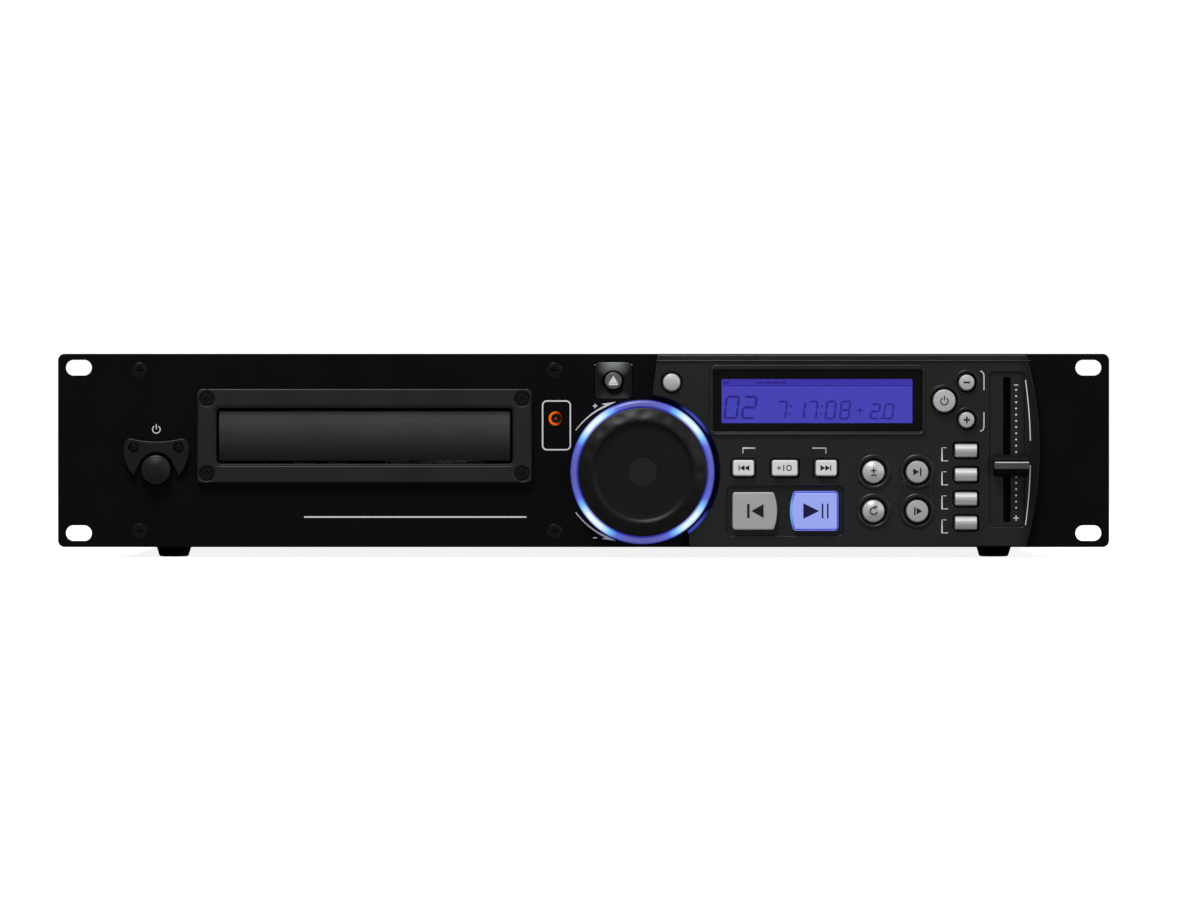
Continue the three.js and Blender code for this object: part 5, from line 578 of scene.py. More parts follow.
def lamp_glow_and_painted_spill(material, power, along, inner, outer, across):
    """Emission from four lamps behind the ring: one ramp towards the diagonals, one across the reach. On the
    ring it is the lamps' own light; on the wall beside it, it is their spill painted on.
    """
    tree = material.node_tree
    measure = wheel_measure(tree)
    near = sum_of(tree, "POWER", measure["Diagonal"], power)
    width = add_node(tree, "MapRange", {"Value": measure["Reach"], "From Min": inner * MM,
                                        "From Max": outer * MM}).outputs["Result"]
    toned = add_node(tree, "VectorMath", {0: ramp(tree, near, along), 1: ramp(tree, width, across)},
                     operation="MULTIPLY")
    return set_shader(material, {"Emission Color": toned.outputs["Vector"], "Emission Strength": 1.0})


ring_lit = lamp_glow_and_painted_spill(
    finish_of("lit violet ring", (44, 44, 84), 0.25, 1200, 0.02, gloss=0.3, shade=0.03), 3.0,
    ((0.0, linear(88, 90, 164)), (0.35, linear(92, 106, 208)), (0.62, linear(124, 198, 242)),
     (0.93, linear(228, 252, 248))), 29.9, 33.3,
    ((0.0, (0.3, 0.2, 0.7, 1)), (0.22, (1, 1, 1, 1)), (0.7, (1, 1, 1, 1)), (1.0, (0.12, 0.07, 0.55, 1))))
ring_profile = [(28.0, -0.3), (33.2, -0.3), (33.2, -3.2), (33.05, -4.3), (32.6, -5.1), (31.9, -5.6),
                (31.2, -5.75), (30.5, -5.55), (30.05, -4.9), (29.9, -4.2), (29.9, -1.3), (28.0, -1.3)]
settle(turned("light_ring", ring_profile, *JOG, 160, ring=True), "ring_plastic", ring_lit, "jog_light_ring")

# Jog wheel: a moulded black wheel, dished inside a thin raised circle, with soft finger dimples in its
# sloping band and fine turned lines on its face. It is pressed on the encoder's shaft.
BAND_IN, BAND_OUT, CREST, BAND_EDGE = 23.4, 28.9, -10.5, -8.2
DIMPLES, DIMPLE_REACH, DIMPLE_SIZE = 16, 26.3, (4.4, 2.8)
wheel_profile = [(3.0, 12.2), (3.0, -5.9), (26.5, -5.9), (26.5, -1.7), (29.5, -1.7), (29.5, -7.6),
                 (29.3, -8.0)]
for k in range(15):
    share = k / 14
    wheel_profile.append((BAND_OUT - (BAND_OUT - BAND_IN) * share,
                          BAND_EDGE + (CREST - BAND_EDGE) * math.sin(share * QUARTER) ** 1.2))
wheel_profile += [(23.2, -10.5), (23.0, -10.42), (22.8, -10.2), (22.5, -9.8), (21.9, -9.35), (21.0, -9.15)]
wheel_profile += [(radius, -9.1) for radius in (18, 14, 10, 7.4, 7.1)]
wheel_profile += [(7.0, -9.0), (6.6, -8.95), (3.5, -8.9), (0.6, -8.9)]
wheel = turned("wheel", wheel_profile, *JOG, 256)
for vertex in wheel.data.vertices:
    dx, dz = vertex.co.x - JOG[0], vertex.co.z - JOG[1]
    radius = math.hypot(dx, dz)
    if 23.5 < radius < 29.45 and vertex.co.y < -7.9:
        turn = (math.atan2(dz, dx) / (2 * math.pi) * DIMPLES - 0.5) % 1.0 - 0.5
        around = turn * 2 * math.pi * radius / DIMPLES / DIMPLE_SIZE[0]
        distance = math.hypot(around, (radius - DIMPLE_REACH) / DIMPLE_SIZE[1])
        if distance < 1:
            vertex.co.y += 0.4 * math.cos(distance * QUARTER) ** 2


def add_turned_lines(material, pitch, relief):
    """Fine circles round the wheel's axis, added to the grain. They end at its raised circle."""
    tree = material.node_tree
    reach = wheel_measure(tree)["Reach"]
    wave = sum_of(tree, "SINE", sum_of(tree, "MULTIPLY", reach, 2 * math.pi / (pitch * MM)))
    inside = add_node(tree, "MapRange", {"Value": reach, "From Min": 22.9 * MM, "From Max": 21.9 * MM})
    bump = add_node(tree, "Bump", {"Height": sum_of(tree, "MULTIPLY", wave, inside.outputs["Result"]),
                                   "Normal": tree.nodes["Bump"].outputs["Normal"],
                                   "Strength": relief, "Distance": GRAIN_DEPTH})
    return set_shader(material, {"Normal": bump.outputs["Normal"]})


wheel_black = finish_of("black wheel moulding", (15, 16, 17), 0.48, 1500, 0.06, gloss=0.25)
add_turned_lines(wheel_black, 0.85, 0.12)
settle(wheel, "black_plastic", wheel_black, "jog_wheel", body="jog_wheel", smooth=50)
plug_black = finish_of("dark grey plug", (27, 29, 28), 0.5, 1500, 0.06, gloss=0.25)
settle(domed("wheel_plug", *JOG, 6.7, -9.15, -8.8, 0.0, 0.1), "black_plastic", plug_black, body="jog_wheel")

# Control fascia: one satin charcoal moulding that wraps round the wheel. It has a stepped well for
# each key, a sunk field for the two large keys, a ridge round the display and a sunk fader track.
FASCIA_FRONT = -3.5
FIELD_FRONT = FASCIA_FRONT + 0.95
WRAP_RADIUS, WRAP_NECK, WRAP_FOOT = 35.7, 31.8, 48.5
FASCIA_RIGHT, FASCIA_BOW = 203.6, 6.2
DISPLAY = (107.6, 67.6)
DISPLAY_SIZE = (95.3, 28.2)
PAD = (92.6, 16.7)
FADER = (194.7, 44.9)
ROUND_KEYS = {  # place, radius and dome
    "jog_mode": (*JOG_MODE, 4.1, 0.7), "pitch_range": (133.3, 34.7, 5.2, 1.5),
    "loop_in": (153.4, 34.7, 5.2, 0.35), "reloop": (133.3, 16.7, 5.2, 1.5),
    "loop_out": (153.4, 16.7, 5.2, 0.35), "pitch_on": (165.8, 67.4, 5.3, 0.3),
    "bend_down": (176.1, 75.8, 3.7, 0.4), "bend_up": (176.1, 58.6, 3.7, 0.4),
}
KEYS = {  # place, width and height
    "track_back": (73.5, 36.5, 10, 7.5), "plus_ten": (92.5, 36.5, 12.1, 7.5),
    "track_forward": (111.5, 36.5, 10, 7.5), "repeat": (175.8, 11.2, 10.3, 6.2),
    "program": (175.8, 22.3, 10.3, 6.2), "single": (175.8, 33.4, 10.3, 6.2), "time": (175.8, 44.5, 10.3, 6.2),
}
BIG_KEYS = {"cue": (78.7, 16.7, 20.8, 1), "play": (106.1, 16.7, 21.6, -1)}  # place, width and bowed side
KEY_GAP = 0.35
CAP_TRIM = 0.25


def fascia_outline(inset):
    top, bottom = 88.4 - inset, 0.5 + inset
    wrap, neck, foot = WRAP_RADIUS + inset, WRAP_NECK + inset, WRAP_FOOT + inset
    start = math.degrees(math.acos((neck - JOG[0]) / wrap))
    stop = -math.degrees(math.acos((foot - JOG[0]) / wrap))
    half = (top - bottom) / 2
    bow = half * half / (2 * FASCIA_BOW) + FASCIA_BOW / 2
    sweep = math.degrees(math.asin(half / bow))
    points = arc_points(wrap, *JOG, start, stop - start, 72) + [(foot, bottom)]
    points += arc_points(bow, FASCIA_RIGHT - inset + FASCIA_BOW - bow, (top + bottom) / 2,
                         -sweep, 2 * sweep, 40)
    return points + [(34 + inset, top), (neck, 71.5)]


def bowed_outline(x, z, width, side, grow=0.0):
    """A large key: one side bows out, the corners are round."""
    corner = 1.6 + grow
    half_width, half_height = width / 2 + grow, 8.8 + grow
    chord = half_height - corner
    bow = chord * chord / 2.2 + 0.55
    sweep = math.degrees(math.asin(chord / bow))
    straight, bowed = -half_width + corner, half_width - 1.1 - corner
    points = arc_points(corner, straight, -chord, 180, 90, 6)
    points += arc_points(corner, bowed, -chord, 270, 90 - sweep, 6)[:-1]
    points += arc_points(bow, half_width - bow, 0, -sweep, 2 * sweep, 16)
    points += arc_points(corner, bowed, chord, sweep, 90 - sweep, 6)[1:]
    points += arc_points(corner, straight, chord, 90, 90, 6)
    return [(x + side * px, z + pz) for px, pz in points]


def key_holes(grow):
    circles = [circle_points(radius + grow, x, z, 48) for x, z, radius, _ in ROUND_KEYS.values()]
    return circles + [box_points(w + 2 * grow, h + 2 * grow, 1 + grow, x, z) for x, z, w, h in KEYS.values()]


def rim(key, inner, outer, height, steps, sides):
    """A rounded rim on the fascia round a key, between two distances from the key's edge."""
    x, z, radius, _ = ROUND_KEYS[key]
    middle, half = radius + (inner + outer) / 2, (outer - inner) / 2
    turns = [math.pi * k / steps for k in range(steps + 1)]
    crown = [(radius + inner, FASCIA_FRONT + 0.3), (radius + outer, FASCIA_FRONT + 0.3)]
    crown += [(middle + half * math.cos(t), FASCIA_FRONT - height * math.sin(t)) for t in turns]
    return turned("rim", crown, x, z, sides, ring=True)


glass_hole = box_points(DISPLAY_SIZE[0] + 0.6, DISPLAY_SIZE[1] + 0.6, 1.2, *DISPLAY)
lcd_hole = box_points(DISPLAY_SIZE[0] - 4.4, DISPLAY_SIZE[1] - 4.4, 1, *DISPLAY)
pad_hole = box_points(54.0, 22.8, 2.6, *PAD)
fader_hole = box_points(16.4, 71.4, 2, *FADER)
fader_slot = box_points(3.4, 66.8, 1, *FADER)
big_holes = [bowed_outline(*big_key, KEY_GAP) for big_key in BIG_KEYS.values()]
fascia_parts = [
    plate("fascia_skin", [fascia_outline(0)], FASCIA_FRONT, 1.5, 0.45, 3,
          key_holes(1.0) + [glass_hole, pad_hole, fader_hole]),
    plate("display_ridge", [box_points(98.7, 32.6, 3, *DISPLAY)], FASCIA_FRONT - 0.8, 1.2, 0.4, 3,
          [box_points(97.0, 29.3, 1.8, DISPLAY[0], DISPLAY[1] - 0.5)]),
    plate("top_ridge", [[(33.6, 85.4), (205.6, 85.4), (205.4, 86.0), (33.7, 86.0)]],
          FASCIA_FRONT - 0.6, 0.8, 0.28, 3),
]
fascia_parts += [rim(key, 1.15, 2.9, 0.75, 8, 72) for key in ("pitch_range", "loop_in", "reloop", "loop_out")]
fascia_parts += [rim(key, 1.1, 2.1, 0.35, 6, 60) for key in ("pitch_on", "bend_down", "bend_up")]
fascia_parts += [
    plate("waist", [stroke(arc_points(9.5, 153.4 + side * 15.2, 25.7, 90 + side * 59, side * 62, 12), 1.3)],
          FASCIA_FRONT - 0.6, 1.0, 0.4) for side in (-1, 1)]
# Painted shade: the fascia's colour darkens towards its bowed right end, over the fader field too.
fascia_plastic = graded(finish_of("satin charcoal moulding", (30, 32, 31), 0.36, 1900, 0.12, gloss=0.4),
                        "X", 198, 208, 1.0, 0.25)
settle(join_pieces("fascia", *fascia_parts), "fascia_plastic", fascia_plastic, "control_fascia")
core = plate("fascia_core", [fascia_outline(0.05)], FASCIA_FRONT + 1.0, 2.2, 0.2, 1,
             key_holes(KEY_GAP) + big_holes + [lcd_hole, fader_slot])
# The core shows only in the gaps round the keys and in the fader slot; its near-black colour is painted shade
# there.
core_painted_shade = finish_of("shadowed charcoal moulding", (7, 8, 8), 0.55, 1900, 0.1, gloss=0.06)
settle(core, "fascia_plastic", core_painted_shade)
wall_start, wall_stop = math.degrees(math.acos((WRAP_NECK - JOG[0]) / WRAP_RADIUS)), -53
wall_edge = WRAP_RADIUS + 0.05
wall = plate("wrap_wall", [arc_points(wall_edge, *JOG, wall_start, wall_stop - wall_start, 72)
                           + arc_points(34.0, *JOG, wall_stop, wall_start - wall_stop, 72)],
             FASCIA_FRONT + 0.35, 0.6)
for vertex in wall.data.vertices:
    vertex.co.y += 1.5 * max(0.0, wall_edge - math.hypot(vertex.co.x - JOG[0], vertex.co.z - JOG[1]))
# The wall inside the wrap: its near-black colour is painted shade, and its blue glow at the diagonals is the
# ring's light painted on as a spill.
wall_painted_shade_and_glow = lamp_glow_and_painted_spill(
    finish_of("charcoal wall by the ring", (9, 9, 11), 0.45, 1900, 0.08, gloss=0.1), 6.0,
    ((0.0, (0, 0, 0, 1)), (0.4, (0.01, 0.01, 0.015, 1)), (1.0, (0.8, 0.8, 0.8, 1))), 33.9, 35.9,
    ((0.0, linear(14, 8, 90)), (0.45, linear(78, 96, 214)), (1.0, linear(30, 26, 110))))
settle(wall, "fascia_plastic", wall_painted_shade_and_glow)
for name, outline, holes in (("key_field", box_points(53.9, 22.7, 2.6, *PAD), big_holes),
                             ("fader_field", box_points(16.3, 71.3, 2, *FADER), [fader_slot])):
    settle(plate(name, [outline], FIELD_FRONT, 0.5, 0.15, 1, holes), "fascia_plastic", fascia_plastic)

# Display: a clear window with a printed black border lies in the fascia's rebate. Behind it the
# liquid-crystal panel is lit blue, and its dark segments show plain numbers.
LCD = (107.35, 67.2)
LCD_SIZE = (87.8, 20.2)
border_black = finish_of("gloss black border", (9, 9, 11), 0.12, 1500, 0.02, gloss=0.5)
border = plate("window_border", [box_points(*DISPLAY_SIZE, 1, *DISPLAY)], -3.0, 1.6, 0.1, 1,
               [box_points(*LCD_SIZE, 0.5, *LCD)])
settle(border, "acrylic", border_black, "display_window")
clear_window = set_shader(finish_of("clear window", (246, 246, 250), 0.04, 900, 0.0, gloss=0.5, shade=0.0),
                          {"Transmission Weight": 1.0, "IOR": 1.3})
pane = plate("window_pane", [box_points(LCD_SIZE[0] - 0.1, LCD_SIZE[1] - 0.1, 0.45, *LCD)],
             -2.9, 0.8, 0.05, 1)
settle(pane, "acrylic", clear_window)


def glowing(name, colour, light, strength):
    material = finish_of(name, colour, 0.35, 1500, 0.02, gloss=0.3, shade=0.05)
    return set_shader(material, {"Emission Color": linear(*light), "Emission Strength": strength})


lcd_glow = glowing("lit blue display", (30, 29, 80), (74, 70, 188), 0.9)
lcd_case = plate("lcd_panel", [box_points(92.6, 26.4, 1, *DISPLAY)], 0.1, 6, 0.3, 1)
lcd_legs = [turned("lcd_leg", [(1.4, 12.2), (1.4, 5.9)], DISPLAY[0] + sx * 43.9, DISPLAY[1] + sz * 10.1, 16)
            for sx, sz in CORNERS]
settle(join_pieces("lcd_unit", lcd_case, *lcd_legs), "lcd_blue", lcd_glow, "lcd_module")
SEGMENTS = {"0": "abcdef", "1": "bc", "2": "abged", "7": "abc", "8": "abcdefg"}
SLANT = 0.12
STRIP_LEVEL = 75.75


def leaning(shape, x, z):
    return [(x + a + SLANT * b, z + b) for a, b in shape]


def digit(number, x, z, width, height, line):
    """Seven bars, leaning to the right, from the lower left corner."""
    half, gap, edge = height / 2, 0.07, line / 2
    level = {"a": height, "g": half, "d": 0}
    shapes = []
    for segment in SEGMENTS[number]:
        if segment in level:
            v = level[segment]
            left, right = gap + edge, width - edge - gap
            outline = [(gap, v), (left, v - edge), (right, v - edge),
                       (width - gap, v), (right, v + edge), (left, v + edge)]
        else:
            u = 0 if segment in "ef" else width
            low = gap + (half if segment in "bf" else 0)
            high = low + half - 2 * gap
            outline = [(u, low), (u + edge, low + edge), (u + edge, high - edge),
                       (u, high), (u - edge, high - edge), (u - edge, low + edge)]
        shapes.append(leaning(outline, x, z))
    return shapes


lcd_shapes = []
for numbers, places, base, width, height, line in (
        ("02", (64.8, 72.9), 59.4, 5.6, 9.8, 1.15), ("20", (131.9, 138.1), 59.2, 3.9, 6.6, 0.85),
        ("71708", (88.8, 97.2, 102.9, 111.3, 117.9), 59.2, 4.0, 7.8, 0.95)):
    for number, x in zip(numbers, places):
        lcd_shapes += digit(number, x, base, width, height, line)
lcd_shapes += [leaning(bar(0, 7.8 * share, 0.9, 0.9), x, 59.2)
               for x in (94.8, 109.0) for share in (0.28, 0.72)]
lcd_shapes += [plus(127.2, 62.8, 3.6, 0.6), [(136.6, 58.7), (137.6, 58.7), (137.7, 59.7), (136.7, 59.7)],
               bar(107.3, 74.3, 86.6, 0.35)]
lcd_shapes += [bar(x, STRIP_LEVEL, width, 1.1)
               for x, width in ((65.7, 2.2), (81.1, 3), (84.7, 3), (88.3, 3), (91.9, 3))]
segment_ink = glowing("dark segments", (26, 24, 70), (50, 38, 142), 0.85)
violet_strip = glowing("violet strip", (28, 24, 76), (66, 54, 176), 0.9)
settle(plate("lcd_segments", lcd_shapes, 0.02, 0.05), "lcd_blue", segment_ink, smooth=0)
settle(plate("lcd_strip", [box_points(87.2, 2.7, 0.3, LCD[0], STRIP_LEVEL)], 0.06, 0.03), "lcd_blue",
       violet_strip, smooth=0)

# Keys: silver-painted caps, each on a stem that works a switch behind the fascia. The two large keys
# bow towards each other, and the play key is lit blue from inside.
KEY_FRONT = -5.5
key_silver = finish_of("silver key paint", (190, 190, 191), 0.4, 3200, 0.14, metal=0.25, gloss=0.4,
                       shade=0.04)
# Painted light: the flat keys and the crowned bars take lighter copies of the same silver paint, set to how
# much light each cap shape catches.
key_silver_painted_light = finish_of("silver key paint with painted light", (218, 218, 219), 0.42, 3200, 0.1, metal=0.08, gloss=0.4, shade=0.03)
bar_silver_painted_light = finish_of("bar key paint with painted light", (198, 198, 199), 0.38, 3200, 0.1, metal=0.3, gloss=0.4, shade=0.03)
key_grey = finish_of("grey key paint", (168, 168, 169), 0.42, 2600, 0.05, metal=0.1, gloss=0.4, shade=0.05)
play_lit = glowing("lit play key", (92, 102, 152), (152, 165, 236), 0.7)


def finish_key(key, x, z, cap, outline, finish, slot="silver_plastic"):
    """Joins a cap to its flange and its stem, and hangs the key on its own body."""
    flange = plate("key_flange", [outline], 0.0, 1.2, 0.15, 1)
    stem = turned("key_stem", [(1.8, 6.2), (1.8, 0.8), (2.4, 0.6), (2.4, -2.4)], x, z, 20)
    settle(join_pieces(f"{key}_cap", cap, flange, stem), slot, finish, f"{key}_button", body=f"{key}_button")


for key, (x, z, radius, dome) in ROUND_KEYS.items():
    cap = domed("round_cap", x, z, radius - CAP_TRIM, KEY_FRONT, -0.2, dome, 0.45)
    finish_key(key, x, z, cap, circle_points(radius + 1.1, x, z, 40),
               key_grey if key.startswith("loop") else key_silver)
for key, (x, z, width, height) in KEYS.items():
    cap_size = (width - 2 * CAP_TRIM, height - 2 * CAP_TRIM)
    if key in ("repeat", "program", "single", "time"):
        cap, paint = crowned("bar_cap", *cap_size, 5.3, 1.95, (x, z), KEY_FRONT, 0.5), bar_silver_painted_light
    else:
        cap, paint = plate("bar_cap", [box_points(*cap_size, 1, x, z)], KEY_FRONT, 5.6, 0.55, 3), key_silver_painted_light
    finish_key(key, x, z, cap, box_points(width + 2.2, height + 2.2, 1.5, x, z), paint)
x, z, width, side = BIG_KEYS["cue"]
cap = plate("big_cap", [bowed_outline(x, z, width, side, -0.2)], KEY_FRONT, 5.6, 0.6, 3)
finish_key("cue", x, z, cap, bowed_outline(x, z, width, side, 1.1), key_grey)
x, z, width, side = BIG_KEYS["play"]
cap = plate("big_cap", [bowed_outline(x, z, width, side, -0.5)], KEY_FRONT, 5.6, 0.6, 3)
edge_lit = graded(glowing("lit play key edge", (40, 42, 120), (70, 72, 226), 0.75), "X", x - 10.9, x - 9.4,
                  (84, 206, 240), (70, 72, 226), "Emission Color")
edge = plate("play_edge", [bowed_outline(x, z, width, side)], KEY_FRONT + 0.45, 4.8, 0.3, 2,
             [bowed_outline(x, z, width, side, -0.9)])
settle(edge, "lit_plastic", edge_lit, body="play_button")
finish_key("play", x, z, cap, bowed_outline(x, z, width, side, 1.1), play_lit, "lit_plastic")

# Key signs: plain arrows, bars and circles printed on the caps, black on the silver ones and dark blue on
# the lit one.
key_ink = finish_of("black key ink", (26, 27, 30), 0.45, 4000, 0.03, gloss=0.3)
blue_ink = finish_of("dark blue key ink", (22, 22, 70), 0.4, 4000, 0.03, gloss=0.3)


def arrow(x, z, width, height, side):
    reach, half = side * width / 2, height / 2
    return [(x - reach, z - half), (x + reach, z), (x - reach, z + half)]


skip = [arrow(0.65, 0, 2.2, 2.6, 1), arrow(-1.55, 0, 2.2, 2.6, 1), bar(2.05, 0, 0.45, 2.6)]
KEY_SIGNS = {
    "track_forward": skip, "track_back": [[(-x, z) for x, z in shape] for shape in skip],
    "plus_ten": [plus(-2.7, 0, 1.9, 0.4), bar(-0.5, 0, 0.5, 2.7), box_points(2.5, 2.7, 1.1, 1.9, 0)],
    "cue": [arrow(1.2, 0, 5.6, 6.4, -1), bar(-3.0, 0, 1.1, 6.4)],
    "play": [arrow(-1.5, 0, 7.3, 7.2, 1), bar(3.7, 0, 0.75, 6.8), bar(6.1, 0, 0.75, 6.8)],
    "bend_down": [bar(0, 0, 2.9, 0.7)], "bend_up": [plus(0, 0, 2.9, 0.7)],
    "loop_in": [arrow(-0.6, 0, 2.6, 3.0, 1), bar(1.5, 0, 0.6, 3.6)],
    "loop_out": [arrow(0.9, 0, 2.6, 3.0, 1), bar(-1.2, 0, 0.6, 3.6)],
    "reloop": [stroke(arc_points(1.6, 0, 0, 60, 290, 20), 0.5), arrow(1.3, 1.75, 1.7, 1.9, 1)],
    "pitch_range": [plus(0, 0.6, 2.5, 0.5), bar(0, -1.5, 2.5, 0.5)],
    "pitch_on": power_mark(0, -0.2, 1.7, 0.3),
}
for key, shapes in KEY_SIGNS.items():
    x, z = {**ROUND_KEYS, **KEYS, **BIG_KEYS}[key][:2]
    holes = [box_points(1.6, 1.8, 0.7, x + 1.9, z)] if key == "plus_ten" else []
    printed(f"{key}_sign", [[(x + px, z + pz) for px, pz in shape] for shape in shapes],
            KEY_FRONT - (0.02 if key in ROUND_KEYS else 0), blue_ink if key == "play" else key_ink,
            f"{key}_button", holes)

# Fascia printing: thin white lines that gather the keys into groups, the fader's dotted scale with its
# signs, and the long lines beside it.
group_lines = [
    stroke([(73.25, 43.2), (73.25, 45.6), (78.9, 45.6)], 0.4),
    stroke([(105.2, 45.6), (111.4, 45.6), (111.4, 43.2)], 0.4),
    stroke([(182.3, 81.0), (183.1, 80.8), (183.8, 80.1), (184.1, 79.0), (184.1, 72.3)], 0.45),
    stroke([(184.1, 62.0), (184.1, 55.4), (183.8, 54.3), (183.1, 53.6), (182.3, 53.4)], 0.45),
    stroke(arc_points(240, -34.5, 43.6, 8.0, -6.7, 16), 0.45),
    stroke(arc_points(240, -34.5, 43.6, -1.4, -6.6, 16), 0.45),
]
for low in (6.6, 17.65, 28.7, 39.75):
    group_lines.append(stroke([(167.6, low), (164.8, low), (164.8, low + 6.0), (166.8, low + 6.0)], 0.4))
printed("fascia_print", group_lines, FASCIA_FRONT, white_ink)
scale_marks = [bar(198.95, 74.6, 1.9, 0.45), plus(198.95, 13.4, 2.5, 0.5)]
scale_marks += [circle_points(0.45, 198.95, 72.4 - 2.855 * k, 14) for k in range(20)]
printed("fader_scale", scale_marks, FIELD_FRONT - 0.01, white_ink)

# Pitch fader: a moulded cap with a grey finger bar, pushed on the blade of a slide potentiometer. The
# blade runs in the slot, and the cap stands a little to its right.
FADER_CAP = (196.4, 37.6)
TAPER_FRONT, TAPER_DEPTH, TAPER_SHARE = -7.0, 2.1, 0.42
cap = plate("fader_cap", [box_points(16.6, 10.2, 1.2, *FADER_CAP)], -9.1, 5.0, 0.5, 3)
for vertex in cap.data.vertices:
    if vertex.co.y < TAPER_FRONT:
        share = 1 - TAPER_SHARE * (TAPER_FRONT - vertex.co.y) / TAPER_DEPTH
        vertex.co.z = FADER_CAP[1] + (vertex.co.z - FADER_CAP[1]) * share
blade = block("fader_blade", 194.0, 195.4, -5.0, 7.6, 35.3, 41.3, 0.2)
cap_black = finish_of("black cap moulding", (12, 13, 13), 0.5, 1700, 0.06, gloss=0.1)
settle(join_pieces("fader_grip", cap, blade), "black_plastic", cap_black, "fader_knob", body="fader_knob")
fin = plate("fader_fin", [box_points(16.1, 3.4, 0.5, FADER_CAP[0], FADER_CAP[1] + 0.2)], -12.62, 5.1, 0.2, 3)
fin_grey = finish_of("grey bar moulding", (66, 68, 68), 0.28, 1700, 0.04, gloss=0.6)
settle(fin, "black_plastic", fin_grey, body="fader_knob")
# Painted highlight: a white line along the top of the finger bar, where its top edge catches the light.
printed("fader_fin_painted_highlight", [bar(FADER_CAP[0], 39.05, 15.2, 0.42)], -12.64, white_ink, "fader_knob")

# Case screws: black cross-head screws with low domes. Three on each side hold the folded cover to the pan,
# and eight behind hold the back plate to it.
for side, turn in ((-1, -90), (1, 90)):
    place_screws(f"side_screw_{turn + 90}", 3.2, 0.9, [(side * 215.02, y, 11) for y in (24, 130, 236)], turn)
place_screws("back_screw", 3.2, 0.9, [(x, 254.32, z) for x in (-205, -60, 60, 205) for z in (10, 79)], 180)

# Feet: four tapered feet, moulded in black plastic with rounded soles. Each is held to the pan by a screw in
# its hollow.


def upright(name, profile, x, y, steps=64):
    """A turned shape standing up: (radius, height) pairs about an upright axis."""
    return place(turned(name, profile, 0, 0, steps), (x, y, 0), (QUARTER, 0, 0))


foot_black = finish_of("black foot moulding", (12, 12, 13), 0.6, 1500, 0.25, gloss=0.2)
foot_profile = [(3.0, -2.5), (3.0, -4.9), (3.2, -5.0), (6.0, -5.0), (6.5, -4.85), (6.8, -4.5),
                (7.0, -4.0), (8.2, 0.0), (8.3, 1.6), (8.3, 2.2)]
for row, y in (("front", 32.3), ("rear", 226.3)):
    for side, x in (("left", -191), ("right", 191)):
        foot = f"foot_{row}_{side}"
        settle(upright(f"{foot}_shape", foot_profile, x, y), "black_plastic", foot_black, foot)

# Disc tray: a black moulded tray with a seat for each size of disc, a slot for the spindle and the laser,
# two stiffening ribs, a front beam and the rack that the drive gear pulls.
TRAY_TOP, TRAY_UNDER, TRAY_BACK, DISC_SPOT = 59.0, 54.2, 167.6, (-100.8, 72.0)
RACK_ROOT, RACK_TIP, RACK_PITCH, RACK_FRONT = -47.55, -50.17, 1.25 * math.pi, 3.6


def laid(piece):
    """Lays a plate down: what faced forward now faces up, and its height runs to the back."""
    return place(piece, turn=(-QUARTER, 0, 0))


tray = laid(plate("tray_plate", [box_points(126.4, 166, 2, DISC_SPOT[0], 84.6)], -TRAY_TOP, 5))
slot_edge = arc_points(19, *DISC_SPOT, 180, 180, 32) + [(-81.8, 139), (-119.8, 139)]
carve(tray, upright("large_seat", [(60.9, TRAY_TOP - 1.8), (60.9, TRAY_TOP + 2)], *DISC_SPOT, 160),
      upright("small_seat", [(40.9, TRAY_TOP - 3), (40.9, TRAY_TOP + 2)], *DISC_SPOT, 160),
      laid(plate("slot_tool", [slot_edge], -TRAY_TOP - 2, 9)))
round_edges(tray, 0.35)
rack_edge = [(RACK_ROOT, RACK_FRONT)]
for k in range(-6, 35):
    y = 27 + (k + 0.5) * RACK_PITCH
    rack_edge += [(RACK_ROOT, y - 1.42), (RACK_TIP, y - 0.46), (RACK_TIP, y + 0.46), (RACK_ROOT, y + 1.42)]
rack_edge += [(RACK_ROOT, TRAY_BACK), (RACK_ROOT + 2.4, TRAY_BACK), (RACK_ROOT + 2.4, RACK_FRONT)]
rack = laid(plate("rack", [rack_edge], -TRAY_UNDER, 7.2))
ribs = [block("rib", x - 0.8, x + 0.8, 1.6, 163.6, 49.5, TRAY_UNDER, 0.3) for x in (-157.6, -44.0)]
beam = block("beam", -160.0, -41.6, 1.6, 5.6, 45.6, TRAY_UNDER, 0.5)
tray_black = finish_of("black tray moulding", (20, 21, 22), 0.36, 1500, 0.06, gloss=0.4)
settle(join_pieces("tray_shape", tray, rack, beam, *ribs), "black_plastic", tray_black, "disc_tray",
       body="tray", smooth=30)

# Output jacks: a moulded block with three turned, plated phono jacks, each with a coloured collar, and a
# small remote-start jack.
JACK_X, JACK_Z, JACK_PITCH = 96, 40, 18
bright_steel = finish_of("plated steel", (176, 178, 182), 0.3, 700, 0.06, metal=1.0, shade=0.06)
moulded_black = finish_of("black moulding", (22, 23, 24), 0.42, 1700, 0.12, gloss=0.35)
jack_body = join_pieces(
    "jack_body", plate("jack_block", [box_points(72, 14, 0.8, 123, JACK_Z)], 240.8, 12, 0.4, 3),
    plate("jack_leg", [box_points(72, 27.1, 0.6, 123, 26.45)], 240.8, 1.2, 0.2))
settle(jack_body, "black_plastic", moulded_black, "output_jacks")
collar_profile = [(2.9, 252.7), (2.9, 254.6), (1.4, 254.7), (1.4, 262.9), (2.8, 262.9), (2.8, 262.4),
                  (4.1, 254.9), (4.1, 252.7)]
shell_profile = [(3.2, 254.4), (3.2, 263.1), (3.4, 263.3), (3.9, 263.3), (4.15, 263.0), (4.15, 254.4)]
